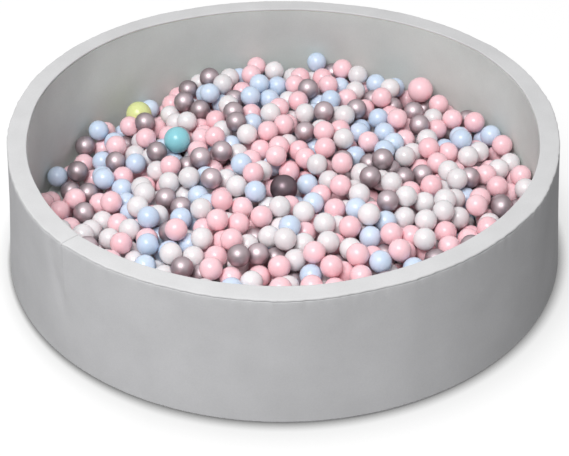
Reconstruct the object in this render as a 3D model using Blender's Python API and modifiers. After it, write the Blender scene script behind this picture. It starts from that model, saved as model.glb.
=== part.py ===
"""Round foam ball pit, full of play balls.

A ring of soft foam stands round a foam floor, inside a grey fabric cover that is sewn from panels and
closed by a zip round the underside. The pit is full of small hollow balls with a few larger ones among
them. Lengths are in metres, +Z is up, and the origin is on the floor, at the centre of the base.
"""

import math

import bmesh
import bpy
import numpy as np
from mathutils import Matrix, Vector
from mathutils.geometry import delaunay_2d_cdt

# Pit, measured outside its cover
RIM_RADIUS = 0.680
BASE_RADIUS = 0.702
PIT_HEIGHT = 0.335
WALL_THICKNESS = 0.049
FLOOR_FOAM = 0.030
RIM_ROLL = 0.004

# Cover fabric, with its seam allowances
SKIN = 0.0015
BASE_SKIN = 0.0025
GAP = 0.0003

# The foam wall is two strips that meet end to end. A round piece has RING_STEPS sides, all in line.
RING_STEPS = 48
BACK_STRIP_STEPS = 25
FRONT_JOINT_DEG = 223.5

# Zip round the underside. Its two rows stay apart, so that the slider's post can pass between them.
ZIP_INSET = 0.026
ZIP_SEWN_STEPS = 3
ZIP_SLIT = 0.0032
ZIP_TEETH_WIDTH = 0.0022
ZIP_TEETH_HEIGHT = 0.0020
ZIP_TAPE_WIDTH = 0.0125
ZIP_TAPE_THICKNESS = 0.0008
ZIP_HEM_HEIGHT = 0.0034
ZIP_HEM_WIDTH = 0.0080
ZIP_STOP_LENGTH = 0.0040
ZIP_ROOM = 0.0015

SLIDER_LENGTH = 0.0120
SLIDER_WIDTH = 0.0094
SLIDER_PLATE = 0.0010
SLIDER_POST_LENGTH = 0.0030
SLIDER_POST_WIDTH = 0.0010
SLIDER_EAR_LENGTH = 0.0030
SLIDER_EAR_WIDTH = 0.0012
SLIDER_BEVEL = 0.0004
BEVEL_SEGMENTS = 1
TAB_LENGTH = 0.0180
TAB_WIDTH = 0.0050
TAB_THICKNESS = 0.0012
TAB_PIN_RADIUS = 0.0004
TAB_PIN_STEPS = 8

# Balls
BALL_RADIUS = 0.0278
LARGE_BALL_RADIUS = 0.0350
BALL_CLEARANCE = 0.0004
POCKET_CLEARANCE = 0.0005
BALL_STEPS = 2

# The heap: how high the centres of its top balls come at the wall, and how it swells and dips
HEAP_AT_WALL = 0.150
HEAP_CROWN = 0.045
HEAP_BACK_RISE = 0.020
HEAP_LEFT_DIP = 0.060
HEAP_SWELL_SPREAD = 0.330
HEAP_BACK_RISE_SHARES = (0.22, 0.95)
HEAP_LEFT_DIP_SHARES = (-0.97, 0.20)

# Large balls, at these shares of the pit's inner radius across and back
LARGE_BALLS_SHARES = {
    "ball_large_lime": (-0.620, 0.650),
    "ball_large_teal": (-0.436, 0.331),
    "ball_large_charcoal": (0.000, -0.015),
    "ball_large_pink": (0.588, 0.702),
}

# Small balls by colour: their share of the heap, and how many lie loose on top as pieces of their own
COLOUR_SHARES = {"pink": 0.37, "white": 0.22, "silver": 0.22, "blue": 0.19}
LOOSE_BALLS = {"pink": 14, "white": 9, "silver": 8, "blue": 7}

SEED = 11
MISSES_TO_FULL = 160
ROLL_DIRECTIONS = 10
ROLL_TRIES = 34
FIRST_STEP_SHARE = 0.5
STEP_SHRINK_SHARE = 0.6
NEIGHBOUR_SHARE = 6.0
FREE_HEIGHT_SHARE = 0.55

# The balls that aren't loose are one body, whose top is a net of points. Each loose ball has a cup in it.
PROUD_BALLS = 190
PROUD_SPACING_SHARE = 1.60
EDGE_SINK_SHARE = 0.90
VALLEY_SINK_SHARE = 1.20
SHOULDER_SHARE = 0.74
SHOULDERS = 6
DOME_FEET = 7
NET_SPACING = 0.0060
CUP_FLAT_SHARE = 0.42
CUP_FLAT_SIDES = 6
CUP_RIM_SIDES = 7
CUP_MARGIN_SHARE = 1.22
CUP_WALL_SHARE = 1.4

MERGE = 0.00001
SHARP_ANGLE = math.radians(40)
FRONT_STRIP_STEPS = RING_STEPS - BACK_STRIP_STEPS
STEP_DEG = 360.0 / RING_STEPS
BACK_JOINT_DEG = FRONT_JOINT_DEG - BACK_STRIP_STEPS * STEP_DEG
ZIP_RADIUS = BASE_RADIUS - ZIP_INSET


def outer_radius(z):
    """Outside of the pit at height z: it flares towards the floor."""
    return BASE_RADIUS + (RIM_RADIUS - BASE_RADIUS) * z / PIT_HEIGHT


def inner_radius(z):
    """Inside of the pit at height z."""
    return outer_radius(z) - WALL_THICKNESS


def remove_everything():
    for obj in list(bpy.data.objects):
        bpy.data.objects.remove(obj)


def new_collection(name):
    group = bpy.data.collections.new(name)
    bpy.context.scene.collection.children.link(group)
    return group


def finish(name, colour, roughness, metallic=0.0):
    """A plain surface of one colour."""
    made = bpy.data.materials.new(name)
    made.use_nodes = True
    shader = made.node_tree.nodes["Principled BSDF"]
    shader.inputs["Base Color"].default_value = (*colour, 1.0)
    shader.inputs["Roughness"].default_value = roughness
    shader.inputs["Metallic"].default_value = metallic
    return made


def add(name, mesh, material, group):
    obj = bpy.data.objects.new(name, mesh)
    if material:
        mesh.materials.append(material)
    group.objects.link(obj)
    return obj


def as_mesh(name, bm):
    bmesh.ops.recalc_face_normals(bm, faces=bm.faces)
    mesh = bpy.data.meshes.new(name)
    bm.to_mesh(mesh)
    bm.free()
    mesh.shade_smooth()
    mesh.set_sharp_from_angle(angle=SHARP_ANGLE)
    return mesh


def turned(name, profile, material, group, closed=True):
    """A profile of (radius, height) points, turned once round Z."""
    mesh = bpy.data.meshes.new(name)
    last = len(profile) - 1
    edges = [(i, i + 1) for i in range(last)]
    if closed:
        edges.append((last, 0))
    mesh.from_pydata([(r, 0.0, z) for r, z in profile], edges, [])
    obj = add(name, mesh, material, group)
    obj.rotation_euler.z = math.radians(FRONT_JOINT_DEG)
    screw = obj.modifiers.new("turn", "SCREW")
    screw.steps = RING_STEPS
    screw.render_steps = RING_STEPS
    screw.use_merge_vertices = True
    screw.merge_threshold = MERGE
    screw.use_smooth_shade = True
    obj.modifiers.new("even normals", "WEIGHTED_NORMAL")
    return obj


def disc(name, bottom_radius, top_radius, bottom, top, material, group):
    """A round plate, with the same sides as the rings."""
    bm = bmesh.new()
    bmesh.ops.create_cone(
        bm,
        cap_ends=True,
        segments=RING_STEPS,
        radius1=bottom_radius,
        radius2=top_radius,
        depth=top - bottom,
        matrix=Matrix.Translation((0.0, 0.0, (bottom + top) / 2)),
    )
    obj = add(name, as_mesh(name, bm), material, group)
    obj.rotation_euler.z = math.radians(FRONT_JOINT_DEG)
    return obj


def bent_strip(name, profile, start_deg, end_deg, steps, material, group):
    """A profile of (radius, height) points swept round Z from one angle to another, with flat ends."""
    bm = bmesh.new()
    corners = [bm.verts.new((r, 0.0, z)) for r, z in profile]
    end = bm.faces.new(corners)
    start = Matrix.Rotation(math.radians(start_deg), 3, "Z")
    bmesh.ops.rotate(bm, verts=corners, cent=(0.0, 0.0, 0.0), matrix=start)
    bmesh.ops.spin(
        bm,
        geom=[end, *end.edges, *end.verts],
        axis=(0.0, 0.0, 1.0),
        cent=(0.0, 0.0, 0.0),
        angle=math.radians(end_deg - start_deg),
        steps=steps,
    )
    return add(name, as_mesh(name, bm), material, group)


def boxes(name, sizes_and_centres, material, group):
    """One mesh of upright boxes, each given by its size and its centre."""
    bm = bmesh.new()
    for size, centre in sizes_and_centres:
        place = Matrix.Translation(centre) @ Matrix.Diagonal((*size, 1.0))
        bmesh.ops.create_cube(bm, size=1.0, matrix=place)
    return add(name, as_mesh(name, bm), material, group)


def combine(obj, other, operation):
    """Joins another object to obj, or cuts it out, and hides the other."""
    other.hide_render = True
    other.display_type = "WIRE"
    tool = obj.modifiers.new(f"{operation.lower()} {other.name}", "BOOLEAN")
    tool.operation = operation
    tool.object = other


def foam_wall(group, material):
    """Two strips of foam on edge, joined end to end, with a groove below for the zip."""
    low = BASE_SKIN + GAP
    high = PIT_HEIGHT - SKIN - GAP
    inset = SKIN + GAP
    edge = RIM_ROLL - SKIN
    groove_top = zip_levels()["slider_top"] + ZIP_ROOM
    groove_half = ZIP_SLIT / 2 + ZIP_TAPE_WIDTH + ZIP_ROOM
    profile = [
        (outer_radius(high) - inset - edge, high),
        (outer_radius(high - edge) - inset, high - edge),
        (outer_radius(low) - inset, low),
        (ZIP_RADIUS + groove_half, low),
        (ZIP_RADIUS + groove_half, groove_top),
        (ZIP_RADIUS - groove_half, groove_top),
        (ZIP_RADIUS - groove_half, low),
        (inner_radius(low) + inset, low),
        (inner_radius(high - edge) + inset, high - edge),
        (inner_radius(high) + inset + edge, high),
    ]
    half_gap_deg = math.degrees(GAP / (RIM_RADIUS + inner_radius(PIT_HEIGHT)))
    spans = {
        "foam_wall_back": (BACK_JOINT_DEG, FRONT_JOINT_DEG, BACK_STRIP_STEPS),
        "foam_wall_front": (FRONT_JOINT_DEG, BACK_JOINT_DEG + 360.0, FRONT_STRIP_STEPS),
    }
    for name, (start, end, steps) in spans.items():
        bent_strip(name, profile, start + half_gap_deg, end - half_gap_deg, steps, material, group)


def floor_top():
    """Top of the cover's floor panel, which the balls lie on."""
    return BASE_SKIN + GAP + FLOOR_FOAM + GAP + SKIN


def foam_floor(group, material):
    low = BASE_SKIN + GAP
    high = low + FLOOR_FOAM
    room = SKIN
    disc("foam_floor", inner_radius(low) + room, inner_radius(high) + room, low, high, material, group)


def wall_panels(group, fabric, rim_fabric):
    """The cover's outer, inner and rim panels. The rim rolls over both edges of the foam."""
    low = BASE_SKIN + GAP
    seam = PIT_HEIGHT - RIM_ROLL
    high = seam - GAP
    outer = [
        (outer_radius(high), high),
        (outer_radius(low), low),
        (outer_radius(low) - SKIN, low),
        (outer_radius(high) - SKIN, high),
    ]
    turned("cover_outer_wall", outer, fabric, group)
    foot = floor_top() - SKIN
    inner = [
        (inner_radius(high) + SKIN, high),
        (inner_radius(foot) + SKIN, foot),
        (inner_radius(foot), foot),
        (inner_radius(high), high),
    ]
    turned("cover_inner_wall", inner, fabric, group)
    right = outer_radius(seam)
    left = inner_radius(seam)
    corner = RIM_ROLL * (1 - math.sqrt(0.5))
    under = PIT_HEIGHT - SKIN
    rim = [
        (left, seam),
        (left + corner, PIT_HEIGHT - corner),
        (left + RIM_ROLL, PIT_HEIGHT),
        (right - RIM_ROLL, PIT_HEIGHT),
        (right - corner, PIT_HEIGHT - corner),
        (right, seam),
        (right - SKIN, seam),
        (right - RIM_ROLL, under),
        (left + RIM_ROLL, under),
        (left + SKIN, seam),
    ]
    turned("cover_rim", rim, rim_fabric, group)


def floor_panel(group, fabric):
    high = floor_top()
    low = high - SKIN
    disc("cover_floor", inner_radius(low) - GAP, inner_radius(high) - GAP, low, high, fabric, group)


def zip_levels():
    """Heights of the zip's layers, from the underside up."""
    tape = ZIP_HEM_HEIGHT + GAP
    teeth = tape + ZIP_TAPE_THICKNESS + GAP
    plate = teeth + ZIP_TEETH_HEIGHT + GAP
    return {
        "plate": ZIP_HEM_HEIGHT - SLIDER_PLATE,
        "tape": tape,
        "teeth": teeth,
        "top_plate": plate,
        "slider_top": plate + SLIDER_PLATE,
    }


def zip_span():
    """Angles at which the zip starts and ends, either side of the back."""
    half = ZIP_SEWN_STEPS * STEP_DEG / 2
    middle = BACK_JOINT_DEG + round((90.0 - BACK_JOINT_DEG) / STEP_DEG) * STEP_DEG + STEP_DEG / 2
    return middle + half, middle - half + 360.0


def panel_edge():
    """How far the underside's panels stay from the middle of the zip."""
    return SLIDER_WIDTH / 2 + ZIP_ROOM


def underside(group, cutters, fabric):
    """The base panel and the hem outside the zip, each with its edge folded up to carry a tape."""
    inside = ZIP_RADIUS - panel_edge()
    base = [
        (0.0, BASE_SKIN),
        (inside - ZIP_HEM_WIDTH, BASE_SKIN),
        (inside - ZIP_HEM_WIDTH, ZIP_HEM_HEIGHT),
        (inside, ZIP_HEM_HEIGHT),
        (inside, 0.0),
        (0.0, 0.0),
    ]
    turned("cover_base", base, fabric, group, closed=False)
    outside = ZIP_RADIUS + panel_edge()
    hem = [
        (outside + ZIP_HEM_WIDTH, BASE_SKIN),
        (BASE_RADIUS - SKIN, BASE_SKIN),
        (BASE_RADIUS, SKIN),
        (BASE_RADIUS - SKIN, 0.0),
        (outside, 0.0),
        (outside, ZIP_HEM_HEIGHT),
        (outside + ZIP_HEM_WIDTH, ZIP_HEM_HEIGHT),
    ]
    ring = turned("cover_base_hem", hem, fabric, group)
    start, end = zip_span()
    sewn = [
        (outside + SKIN, ZIP_HEM_HEIGHT - GAP),
        (outside + SKIN, GAP),
        (inside + GAP, GAP),
        (inside + GAP, ZIP_HEM_HEIGHT - GAP),
    ]
    bridge = bent_strip("sewn_bridge", sewn, end - 360.0, start, ZIP_SEWN_STEPS, None, cutters)
    combine(ring, bridge, "UNION")


def zip_rows(group, tape_material, teeth_material):
    """Tapes and rows of teeth on both sides of the slit, and a stop across each end."""
    level = zip_levels()
    start, end = zip_span()
    steps = RING_STEPS - ZIP_SEWN_STEPS
    room_deg = math.degrees(GAP / ZIP_RADIUS)
    stop_deg = math.degrees(ZIP_STOP_LENGTH / ZIP_RADIUS)
    for side, name in ((-1, "inner"), (1, "outer")):
        near = ZIP_RADIUS + side * ZIP_SLIT / 2
        far = near + side * ZIP_TAPE_WIDTH
        tooth = near + side * ZIP_TEETH_WIDTH
        tape = [
            (near, level["tape"]),
            (far, level["tape"]),
            (far, level["tape"] + ZIP_TAPE_THICKNESS),
            (near, level["tape"] + ZIP_TAPE_THICKNESS),
        ]
        bent_strip(f"zip_tape_{name}", tape, start + room_deg, end - room_deg, steps, tape_material, group)
        teeth = [
            (near, level["teeth"]),
            (tooth, level["teeth"]),
            (tooth, level["teeth"] + ZIP_TEETH_HEIGHT),
            (near, level["teeth"] + ZIP_TEETH_HEIGHT),
        ]
        inset = 2 * room_deg + stop_deg
        bent_strip(f"zip_teeth_{name}", teeth, start + inset, end - inset, steps, teeth_material, group)
    reach = ZIP_SLIT / 2 + ZIP_TEETH_WIDTH
    stop = [
        (ZIP_RADIUS - reach, level["teeth"]),
        (ZIP_RADIUS + reach, level["teeth"]),
        (ZIP_RADIUS + reach, level["teeth"] + ZIP_TEETH_HEIGHT),
        (ZIP_RADIUS - reach, level["teeth"] + ZIP_TEETH_HEIGHT),
    ]
    ends = {"start": start + room_deg, "end": end - room_deg - stop_deg}
    for name, angle in ends.items():
        bent_strip(f"zip_stop_{name}", stop, angle, angle + stop_deg, 1, teeth_material, group)


def slider_place():
    """Radius and angle of the slider, parked at the start of the zip. The rows' sides run just inside
    the circle that their corners lie on, so the slider keeps to the middle of the two."""
    sagitta = ZIP_RADIUS * (1 - math.cos(math.pi / RING_STEPS))
    length_deg = math.degrees((ZIP_STOP_LENGTH + SLIDER_LENGTH / 2 + 3 * GAP) / ZIP_RADIUS)
    return ZIP_RADIUS - sagitta / 2, zip_span()[0] + length_deg


def zip_slider(group, cutters, metal):
    """Two plates with a post between, which carries the pull tab's pin in two ears below."""
    level = zip_levels()
    radius, angle = slider_place()
    carrier = bpy.data.objects.new("slider_axis", None)
    group.objects.link(carrier)
    carrier.rotation_euler.z = math.radians(angle)
    low_middle = level["plate"] + SLIDER_PLATE / 2
    high_middle = level["top_plate"] + SLIDER_PLATE / 2
    plate_size = (SLIDER_WIDTH, SLIDER_LENGTH, SLIDER_PLATE)
    slider = boxes("zip_slider", [(plate_size, (radius, 0.0, low_middle))], metal, group)
    top = boxes("slider_top_plate", [(plate_size, (radius, 0.0, high_middle))], None, cutters)
    for plate in (slider, top):
        rounded = plate.modifiers.new("round", "BEVEL")
        rounded.width = SLIDER_BEVEL
        rounded.segments = BEVEL_SEGMENTS
    post_size = (SLIDER_POST_WIDTH, SLIDER_POST_LENGTH, high_middle - low_middle)
    post_centre = (radius, 0.0, (low_middle + high_middle) / 2)
    post = boxes("slider_post", [(post_size, post_centre)], None, cutters)
    ear_low = tab_axis_height() - 2 * TAB_PIN_RADIUS - GAP / 2
    ear_offset = TAB_WIDTH / 2 + GAP + SLIDER_EAR_WIDTH / 2
    ear_size = (SLIDER_EAR_WIDTH, SLIDER_EAR_LENGTH, low_middle - ear_low)
    ear_height = (ear_low + low_middle) / 2
    ear_boxes = [(ear_size, (radius + side * ear_offset, 0.0, ear_height)) for side in (-1, 1)]
    ears = boxes("slider_ears", ear_boxes, None, cutters)
    pin_hole = cross_pin("slider_pin_hole", TAB_PIN_RADIUS + GAP, SLIDER_WIDTH, radius, None, cutters)
    combine(slider, post, "UNION")
    combine(slider, top, "UNION")
    combine(slider, ears, "UNION")
    combine(slider, pin_hole, "DIFFERENCE")
    for piece in (slider, top, post, ears, pin_hole):
        piece.parent = carrier


def tab_axis_height():
    """The tab's pin lies just under the slider's lower plate."""
    return zip_levels()["plate"] - GAP - TAB_THICKNESS / 2


def cross_pin(name, pin_radius, length, radius, material, group):
    """A rod across the zip, at the tab's pivot."""
    bm = bmesh.new()
    lie = Matrix.Translation((radius, 0.0, tab_axis_height())) @ Matrix.Rotation(math.pi / 2, 4, "Y")
    bmesh.ops.create_cone(
        bm,
        cap_ends=True,
        segments=TAB_PIN_STEPS,
        radius1=pin_radius,
        radius2=pin_radius,
        depth=length,
        matrix=lie,
    )
    return add(name, as_mesh(name, bm), material, group)


def zip_pull_tab(group, cutters, metal):
    """A flat tab that lies along the zip, with a pin through the slider's ears."""
    radius, angle = slider_place()
    pivot = bpy.data.objects.new("tab_axis", None)
    group.objects.link(pivot)
    turn = Matrix.Rotation(math.radians(angle), 4, "Z")
    pivot.matrix_world = turn @ Matrix.Translation((radius, 0.0, tab_axis_height()))
    size = (TAB_WIDTH, TAB_LENGTH, TAB_THICKNESS)
    centre = (radius, (TAB_LENGTH - TAB_THICKNESS) / 2, tab_axis_height())
    tab = boxes("zip_pull_tab", [(size, centre)], metal, group)
    length = TAB_WIDTH + 2 * (GAP + SLIDER_EAR_WIDTH)
    pin = cross_pin("tab_pin", TAB_PIN_RADIUS, length, radius, None, cutters)
    combine(tab, pin, "UNION")
    for piece in (tab, pin):
        piece.data.transform(Matrix.Translation((-radius, 0.0, -tab_axis_height())))
        piece.parent = pivot


def heap_height(x, y):
    """The most that a ball's centre may rise at (x, y): a low crown, higher at the back, lower left."""
    inside = inner_radius(HEAP_AT_WALL)
    height = HEAP_AT_WALL + HEAP_CROWN * (1 - (x * x + y * y) / inside**2)
    swells = ((HEAP_BACK_RISE, HEAP_BACK_RISE_SHARES), (-HEAP_LEFT_DIP, HEAP_LEFT_DIP_SHARES))
    for rise, (across, back) in swells:
        away = (x - across * inside) ** 2 + (y - back * inside) ** 2
        height = height + rise * np.exp(-away / HEAP_SWELL_SPREAD**2)
    return height


def wall_limit(z, radius):
    """How far from the middle a ball's centre can be at height z."""
    flat_side = math.cos(math.pi / RING_STEPS)
    return inner_radius(z) * flat_side - radius - BALL_CLEARANCE


def resting_height(points, radius, placed):
    """Height at which a ball's centre stops when it is let down at each point, onto balls or floor."""
    away = (points[:, :1] - placed[:, 0]) ** 2 + (points[:, 1:] - placed[:, 1]) ** 2
    reach = (placed[:, 3] + radius + BALL_CLEARANCE) ** 2 - away
    on_ball = np.where(reach > 0, placed[:, 2] + np.sqrt(np.maximum(reach, 0)), 0.0)
    on_floor = floor_top() + BALL_CLEARANCE + radius
    return np.maximum(on_ball.max(axis=1, initial=0.0), on_floor)


def roll(point, radius, placed, draw):
    """Lets a ball roll down from a point to where it is lower than all round it."""
    height = resting_height(point[None], radius, placed)[0]
    step = FIRST_STEP_SHARE * radius
    headings = np.arange(ROLL_DIRECTIONS) * 2 * math.pi / ROLL_DIRECTIONS
    for turn in draw.random(ROLL_TRIES):
        angles = headings + turn
        tries = point + step * np.stack([np.cos(angles), np.sin(angles)], axis=1)
        limit = wall_limit(height, radius)
        from_middle = np.hypot(tries[:, 0], tries[:, 1])
        tries *= np.minimum(1.0, limit / from_middle)[:, None]
        heights = resting_height(tries, radius, placed)
        best = heights.argmin()
        if heights[best] < height:
            point, height = tries[best], heights[best]
        else:
            step *= STEP_SHRINK_SHARE
    return np.array([*point, height, radius])


def covers(ball, others):
    """Whether a ball lies over any of the others, so that they couldn't be lifted out."""
    if not len(others):
        return False
    apart = np.hypot(others[:, 0] - ball[0], others[:, 1] - ball[1])
    over = apart < others[:, 3] + ball[3] + BALL_CLEARANCE
    return bool((over & (others[:, 2] < ball[2])).any())


def near(point, placed, radius):
    """The placed balls that a ball rolling from here could meet."""
    reach = NEIGHBOUR_SHARE * radius
    return placed[(abs(placed[:, 0] - point[0]) < reach) & (abs(placed[:, 1] - point[1]) < reach)]


def fill(placed, ceiling, large, draw):
    """Drops small balls at random until none more comes to rest under the ceiling."""
    misses = 0
    while misses < MISSES_TO_FULL:
        distance = math.sqrt(draw.random()) * wall_limit(HEAP_AT_WALL, BALL_RADIUS)
        angle = draw.random() * 2 * math.pi
        point = distance * np.array([math.cos(angle), math.sin(angle)])
        ball = roll(point, BALL_RADIUS, near(point, placed, BALL_RADIUS), draw)
        if ball[2] > heap_height(ball[0], ball[1]) - ceiling or covers(ball, large):
            misses += 1
        else:
            misses = 0
            placed = np.vstack([placed, ball])
    return placed


def pile_balls():
    """The heap as rows of x, y, z, radius: the large balls, then the small ones."""
    draw = np.random.default_rng(SEED)
    placed = fill(np.empty((0, 4)), 2 * BALL_RADIUS, np.empty((0, 4)), draw)
    inside = inner_radius(HEAP_AT_WALL)
    large = []
    for across, back in LARGE_BALLS_SHARES.values():
        point = np.array([[across * inside, back * inside]])
        height = resting_height(point, LARGE_BALL_RADIUS, placed)[0]
        large.append([*point[0], height, LARGE_BALL_RADIUS])
    large = np.array(large)
    placed = fill(np.vstack([large, placed]), 0.0, large, draw)
    shares = np.array(list(COLOUR_SHARES.values()))
    colours = draw.choice(list(COLOUR_SHARES), len(placed), p=shares / shares.sum())
    return placed, colours


def free_balls(placed):
    """Which balls stand high in the heap, with nothing over them and their way past the rim clear."""
    free = []
    for ball in placed:
        high = ball[2] > heap_height(ball[0], ball[1]) - FREE_HEIGHT_SHARE * ball[3]
        others = placed[placed[:, 2] > ball[2]]
        apart = np.hypot(others[:, 0] - ball[0], others[:, 1] - ball[1])
        clear = (apart > others[:, 3] + ball[3]).all()
        from_middle = np.hypot(ball[0], ball[1])
        by_wall = from_middle < wall_limit(ball[2], CUP_WALL_SHARE * ball[3])
        by_rim = from_middle < wall_limit(PIT_HEIGHT, ball[3])
        free.append(high and clear and by_wall and by_rim)
    return np.array(free)


def pick_loose(placed, colours):
    """Names of the balls that are pieces of their own: the large ones, and small ones spread evenly."""
    names = dict(enumerate(LARGE_BALLS_SHARES))
    free = free_balls(placed)
    for colour, count in LOOSE_BALLS.items():
        for number in range(1, count + 1):
            taken = placed[list(names)]
            spread = np.hypot(
                placed[:, None, 0] - taken[:, 0],
                placed[:, None, 1] - taken[:, 1],
            ).min(axis=1)
            spread[~free | (colours != colour)] = 0.0
            names[int(spread.argmax())] = f"ball_{colour}_{number:02d}"
    return names


def ball_mesh(name, radius):
    bm = bmesh.new()
    bmesh.ops.create_icosphere(bm, subdivisions=BALL_STEPS, radius=radius)
    return as_mesh(name, bm)


def loose_balls(group, placed, names, materials):
    """Each loose ball, at its place on the heap."""
    for index, name in names.items():
        x, y, z, radius = placed[index]
        colour = name.removeprefix("ball_").removeprefix("large_").split("_")[0]
        ball = add(name, ball_mesh(name, radius), materials[colour], group)
        ball.location = (x, y, z)


def spaced(points, apart):
    """Drops each point that lies closer than that to a kept one, seen from above, highest first."""
    kept = np.empty((0, 3))
    for point in points[np.argsort(-points[:, 2], kind="stable")]:
        if not (np.hypot(kept[:, 0] - point[0], kept[:, 1] - point[1]) < apart).any():
            kept = np.vstack([kept, point])
    return kept


def fan(centre, ring_radius, height, count, turn):
    """Points round a centre at one height."""
    angles = turn + np.arange(count) * 2 * math.pi / count
    return np.stack(
        [
            centre[0] + ring_radius * np.cos(angles),
            centre[1] + ring_radius * np.sin(angles),
            np.full(count, height),
        ],
        axis=1,
    )


def skyline(points, balls, inset):
    """Height of the highest ball over each point, each ball smaller by the inset, or 0 where none is."""
    away = (points[:, :1] - balls[:, 0]) ** 2 + (points[:, 1:2] - balls[:, 1]) ** 2
    rise = (balls[:, 3] - inset) ** 2 - away
    return np.where(rise > 0, balls[:, 2] + np.sqrt(np.maximum(rise, 0)), 0.0).max(axis=1)


def proud_balls(placed, names):
    """The highest balls in the heap that aren't loose, no two of them nearly over each other."""
    stand = placed[:, 2] - heap_height(placed[:, 0], placed[:, 1])
    stand[list(names)] = -math.inf
    chosen = np.empty((0, 4))
    for index in np.argsort(-stand, kind="stable"):
        ball = placed[index]
        apart = np.hypot(chosen[:, 0] - ball[0], chosen[:, 1] - ball[1])
        if len(chosen) < PROUD_BALLS and (apart > PROUD_SPACING_SHARE * ball[3]).all():
            chosen = np.vstack([chosen, ball])
    return chosen


def bump_points(balls, fixed):
    """The crown, the shoulders and the feet of each ball's dome, where no other dome lies over them. A foot
    lies on the fixed ball below it, or where there is none, at the bottom of the valley."""
    points = []
    for index, (x, y, z, radius) in enumerate(balls):
        rise = math.sqrt(1 - SHOULDER_SHARE**2) * radius
        shoulder = fan((x, y), SHOULDER_SHARE * radius, z + rise, SHOULDERS, index)
        foot = fan((x, y), radius, z, DOME_FEET, index)
        valley = heap_height(foot[:, 0], foot[:, 1]) - VALLEY_SINK_SHARE * radius
        foot[:, 2] = np.minimum(np.maximum(skyline(foot, fixed, 0.0), valley), z)
        points += [[[x, y, z + radius]], shoulder, foot]
    points = np.vstack(points)
    inside = np.hypot(points[:, 0], points[:, 1]) < wall_limit(HEAP_AT_WALL, NET_SPACING / 2)
    return points[(points[:, 2] > skyline(points, balls, GAP)) & inside]


def cup_rings(placed, names):
    """A cup round the lower half of each loose ball: a flat under it, and a rim that its sides lead to.
    A cone that touches a ball and starts at the flat's edge rises at twice the angle whose tangent is
    the flat's share of the radius."""
    slope = 2 * math.atan(CUP_FLAT_SHARE)
    reach = math.sin(slope) + CUP_FLAT_SHARE * math.cos(slope)
    level = CUP_FLAT_SHARE * math.sin(slope) - math.cos(slope)
    rings = []
    for index in names:
        x, y, z, radius = placed[index]
        grown = radius + POCKET_CLEARANCE
        rings.append(fan((x, y), CUP_FLAT_SHARE * grown, z - grown, CUP_FLAT_SIDES, index))
        rim = reach * grown / math.cos(math.pi / CUP_RIM_SIDES)
        rings.append(fan((x, y), rim, z + level * grown, CUP_RIM_SIDES, index))
    return rings


def ring_edges(start, count):
    """The edges of a closed ring of points."""
    return [(start + corner, start + (corner + 1) % count) for corner in range(count)]


def crossing(spot, points):
    """Where the rims of two cups cross, the new corner lies as low as the lowest point beside it."""
    away = np.hypot(points[:, 0] - spot.x, points[:, 1] - spot.y)
    beside = np.argsort(away)[:CUP_FLAT_SIDES]
    return spot.x, spot.y, points[beside, 2].min()


def ball_heap(group, placed, names, material):
    """The balls that aren't loose, as one body: a net over their crowns, shoulders and feet, with a cup
    under each loose ball, a side along the wall and a flat bottom on the floor panel."""
    loose = placed[list(names)]
    fixed = np.delete(placed, list(names), axis=0)
    bumps = spaced(bump_points(proud_balls(placed, names), fixed), NET_SPACING)
    apart = np.hypot(bumps[:, :1] - loose[:, 0], bumps[:, 1:2] - loose[:, 1])
    clear = (apart > CUP_MARGIN_SHARE * loose[:, 3]).all(axis=1)
    low = floor_top() + GAP
    edge = []
    for step in range(RING_STEPS):
        angle = math.radians(FRONT_JOINT_DEG + step * STEP_DEG)
        across = np.array([math.cos(angle), math.sin(angle)])
        x, y = across * inner_radius(HEAP_AT_WALL)
        high = heap_height(x, y) - EDGE_SINK_SHARE * BALL_RADIUS
        edge.append([*(across * wall_limit(high, 0.0)), high])
    outline = ring_edges(0, RING_STEPS)
    points = np.vstack([edge, bumps[clear]])
    kept_edges = list(outline)
    for ring in cup_rings(placed, names):
        kept_edges += ring_edges(len(points), len(ring))
        points = np.vstack([points, ring])
    flat = [Vector(point[:2]) for point in points]
    spots, _, faces, origins, _, _ = delaunay_2d_cdt(flat, kept_edges, [], 1, MERGE)
    bm = bmesh.new()
    corners = []
    corner_of = {}
    for spot, sources in zip(spots, origins):
        corners.append(bm.verts.new(points[sources[0]] if sources else crossing(spot, points)))
        corner_of.update(dict.fromkeys(sources, corners[-1]))
    for face in faces:
        bm.faces.new([corners[corner] for corner in face])
    foot = fan((0.0, 0.0), wall_limit(low, 0.0), low, RING_STEPS, math.radians(FRONT_JOINT_DEG))
    feet = [bm.verts.new(point) for point in foot]
    for here, there in outline:
        bm.faces.new([corner_of[there], corner_of[here], feet[here], feet[there]])
    bm.faces.new(feet)
    add("ball_heap", as_mesh("ball_heap", bm), material, group)


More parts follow.
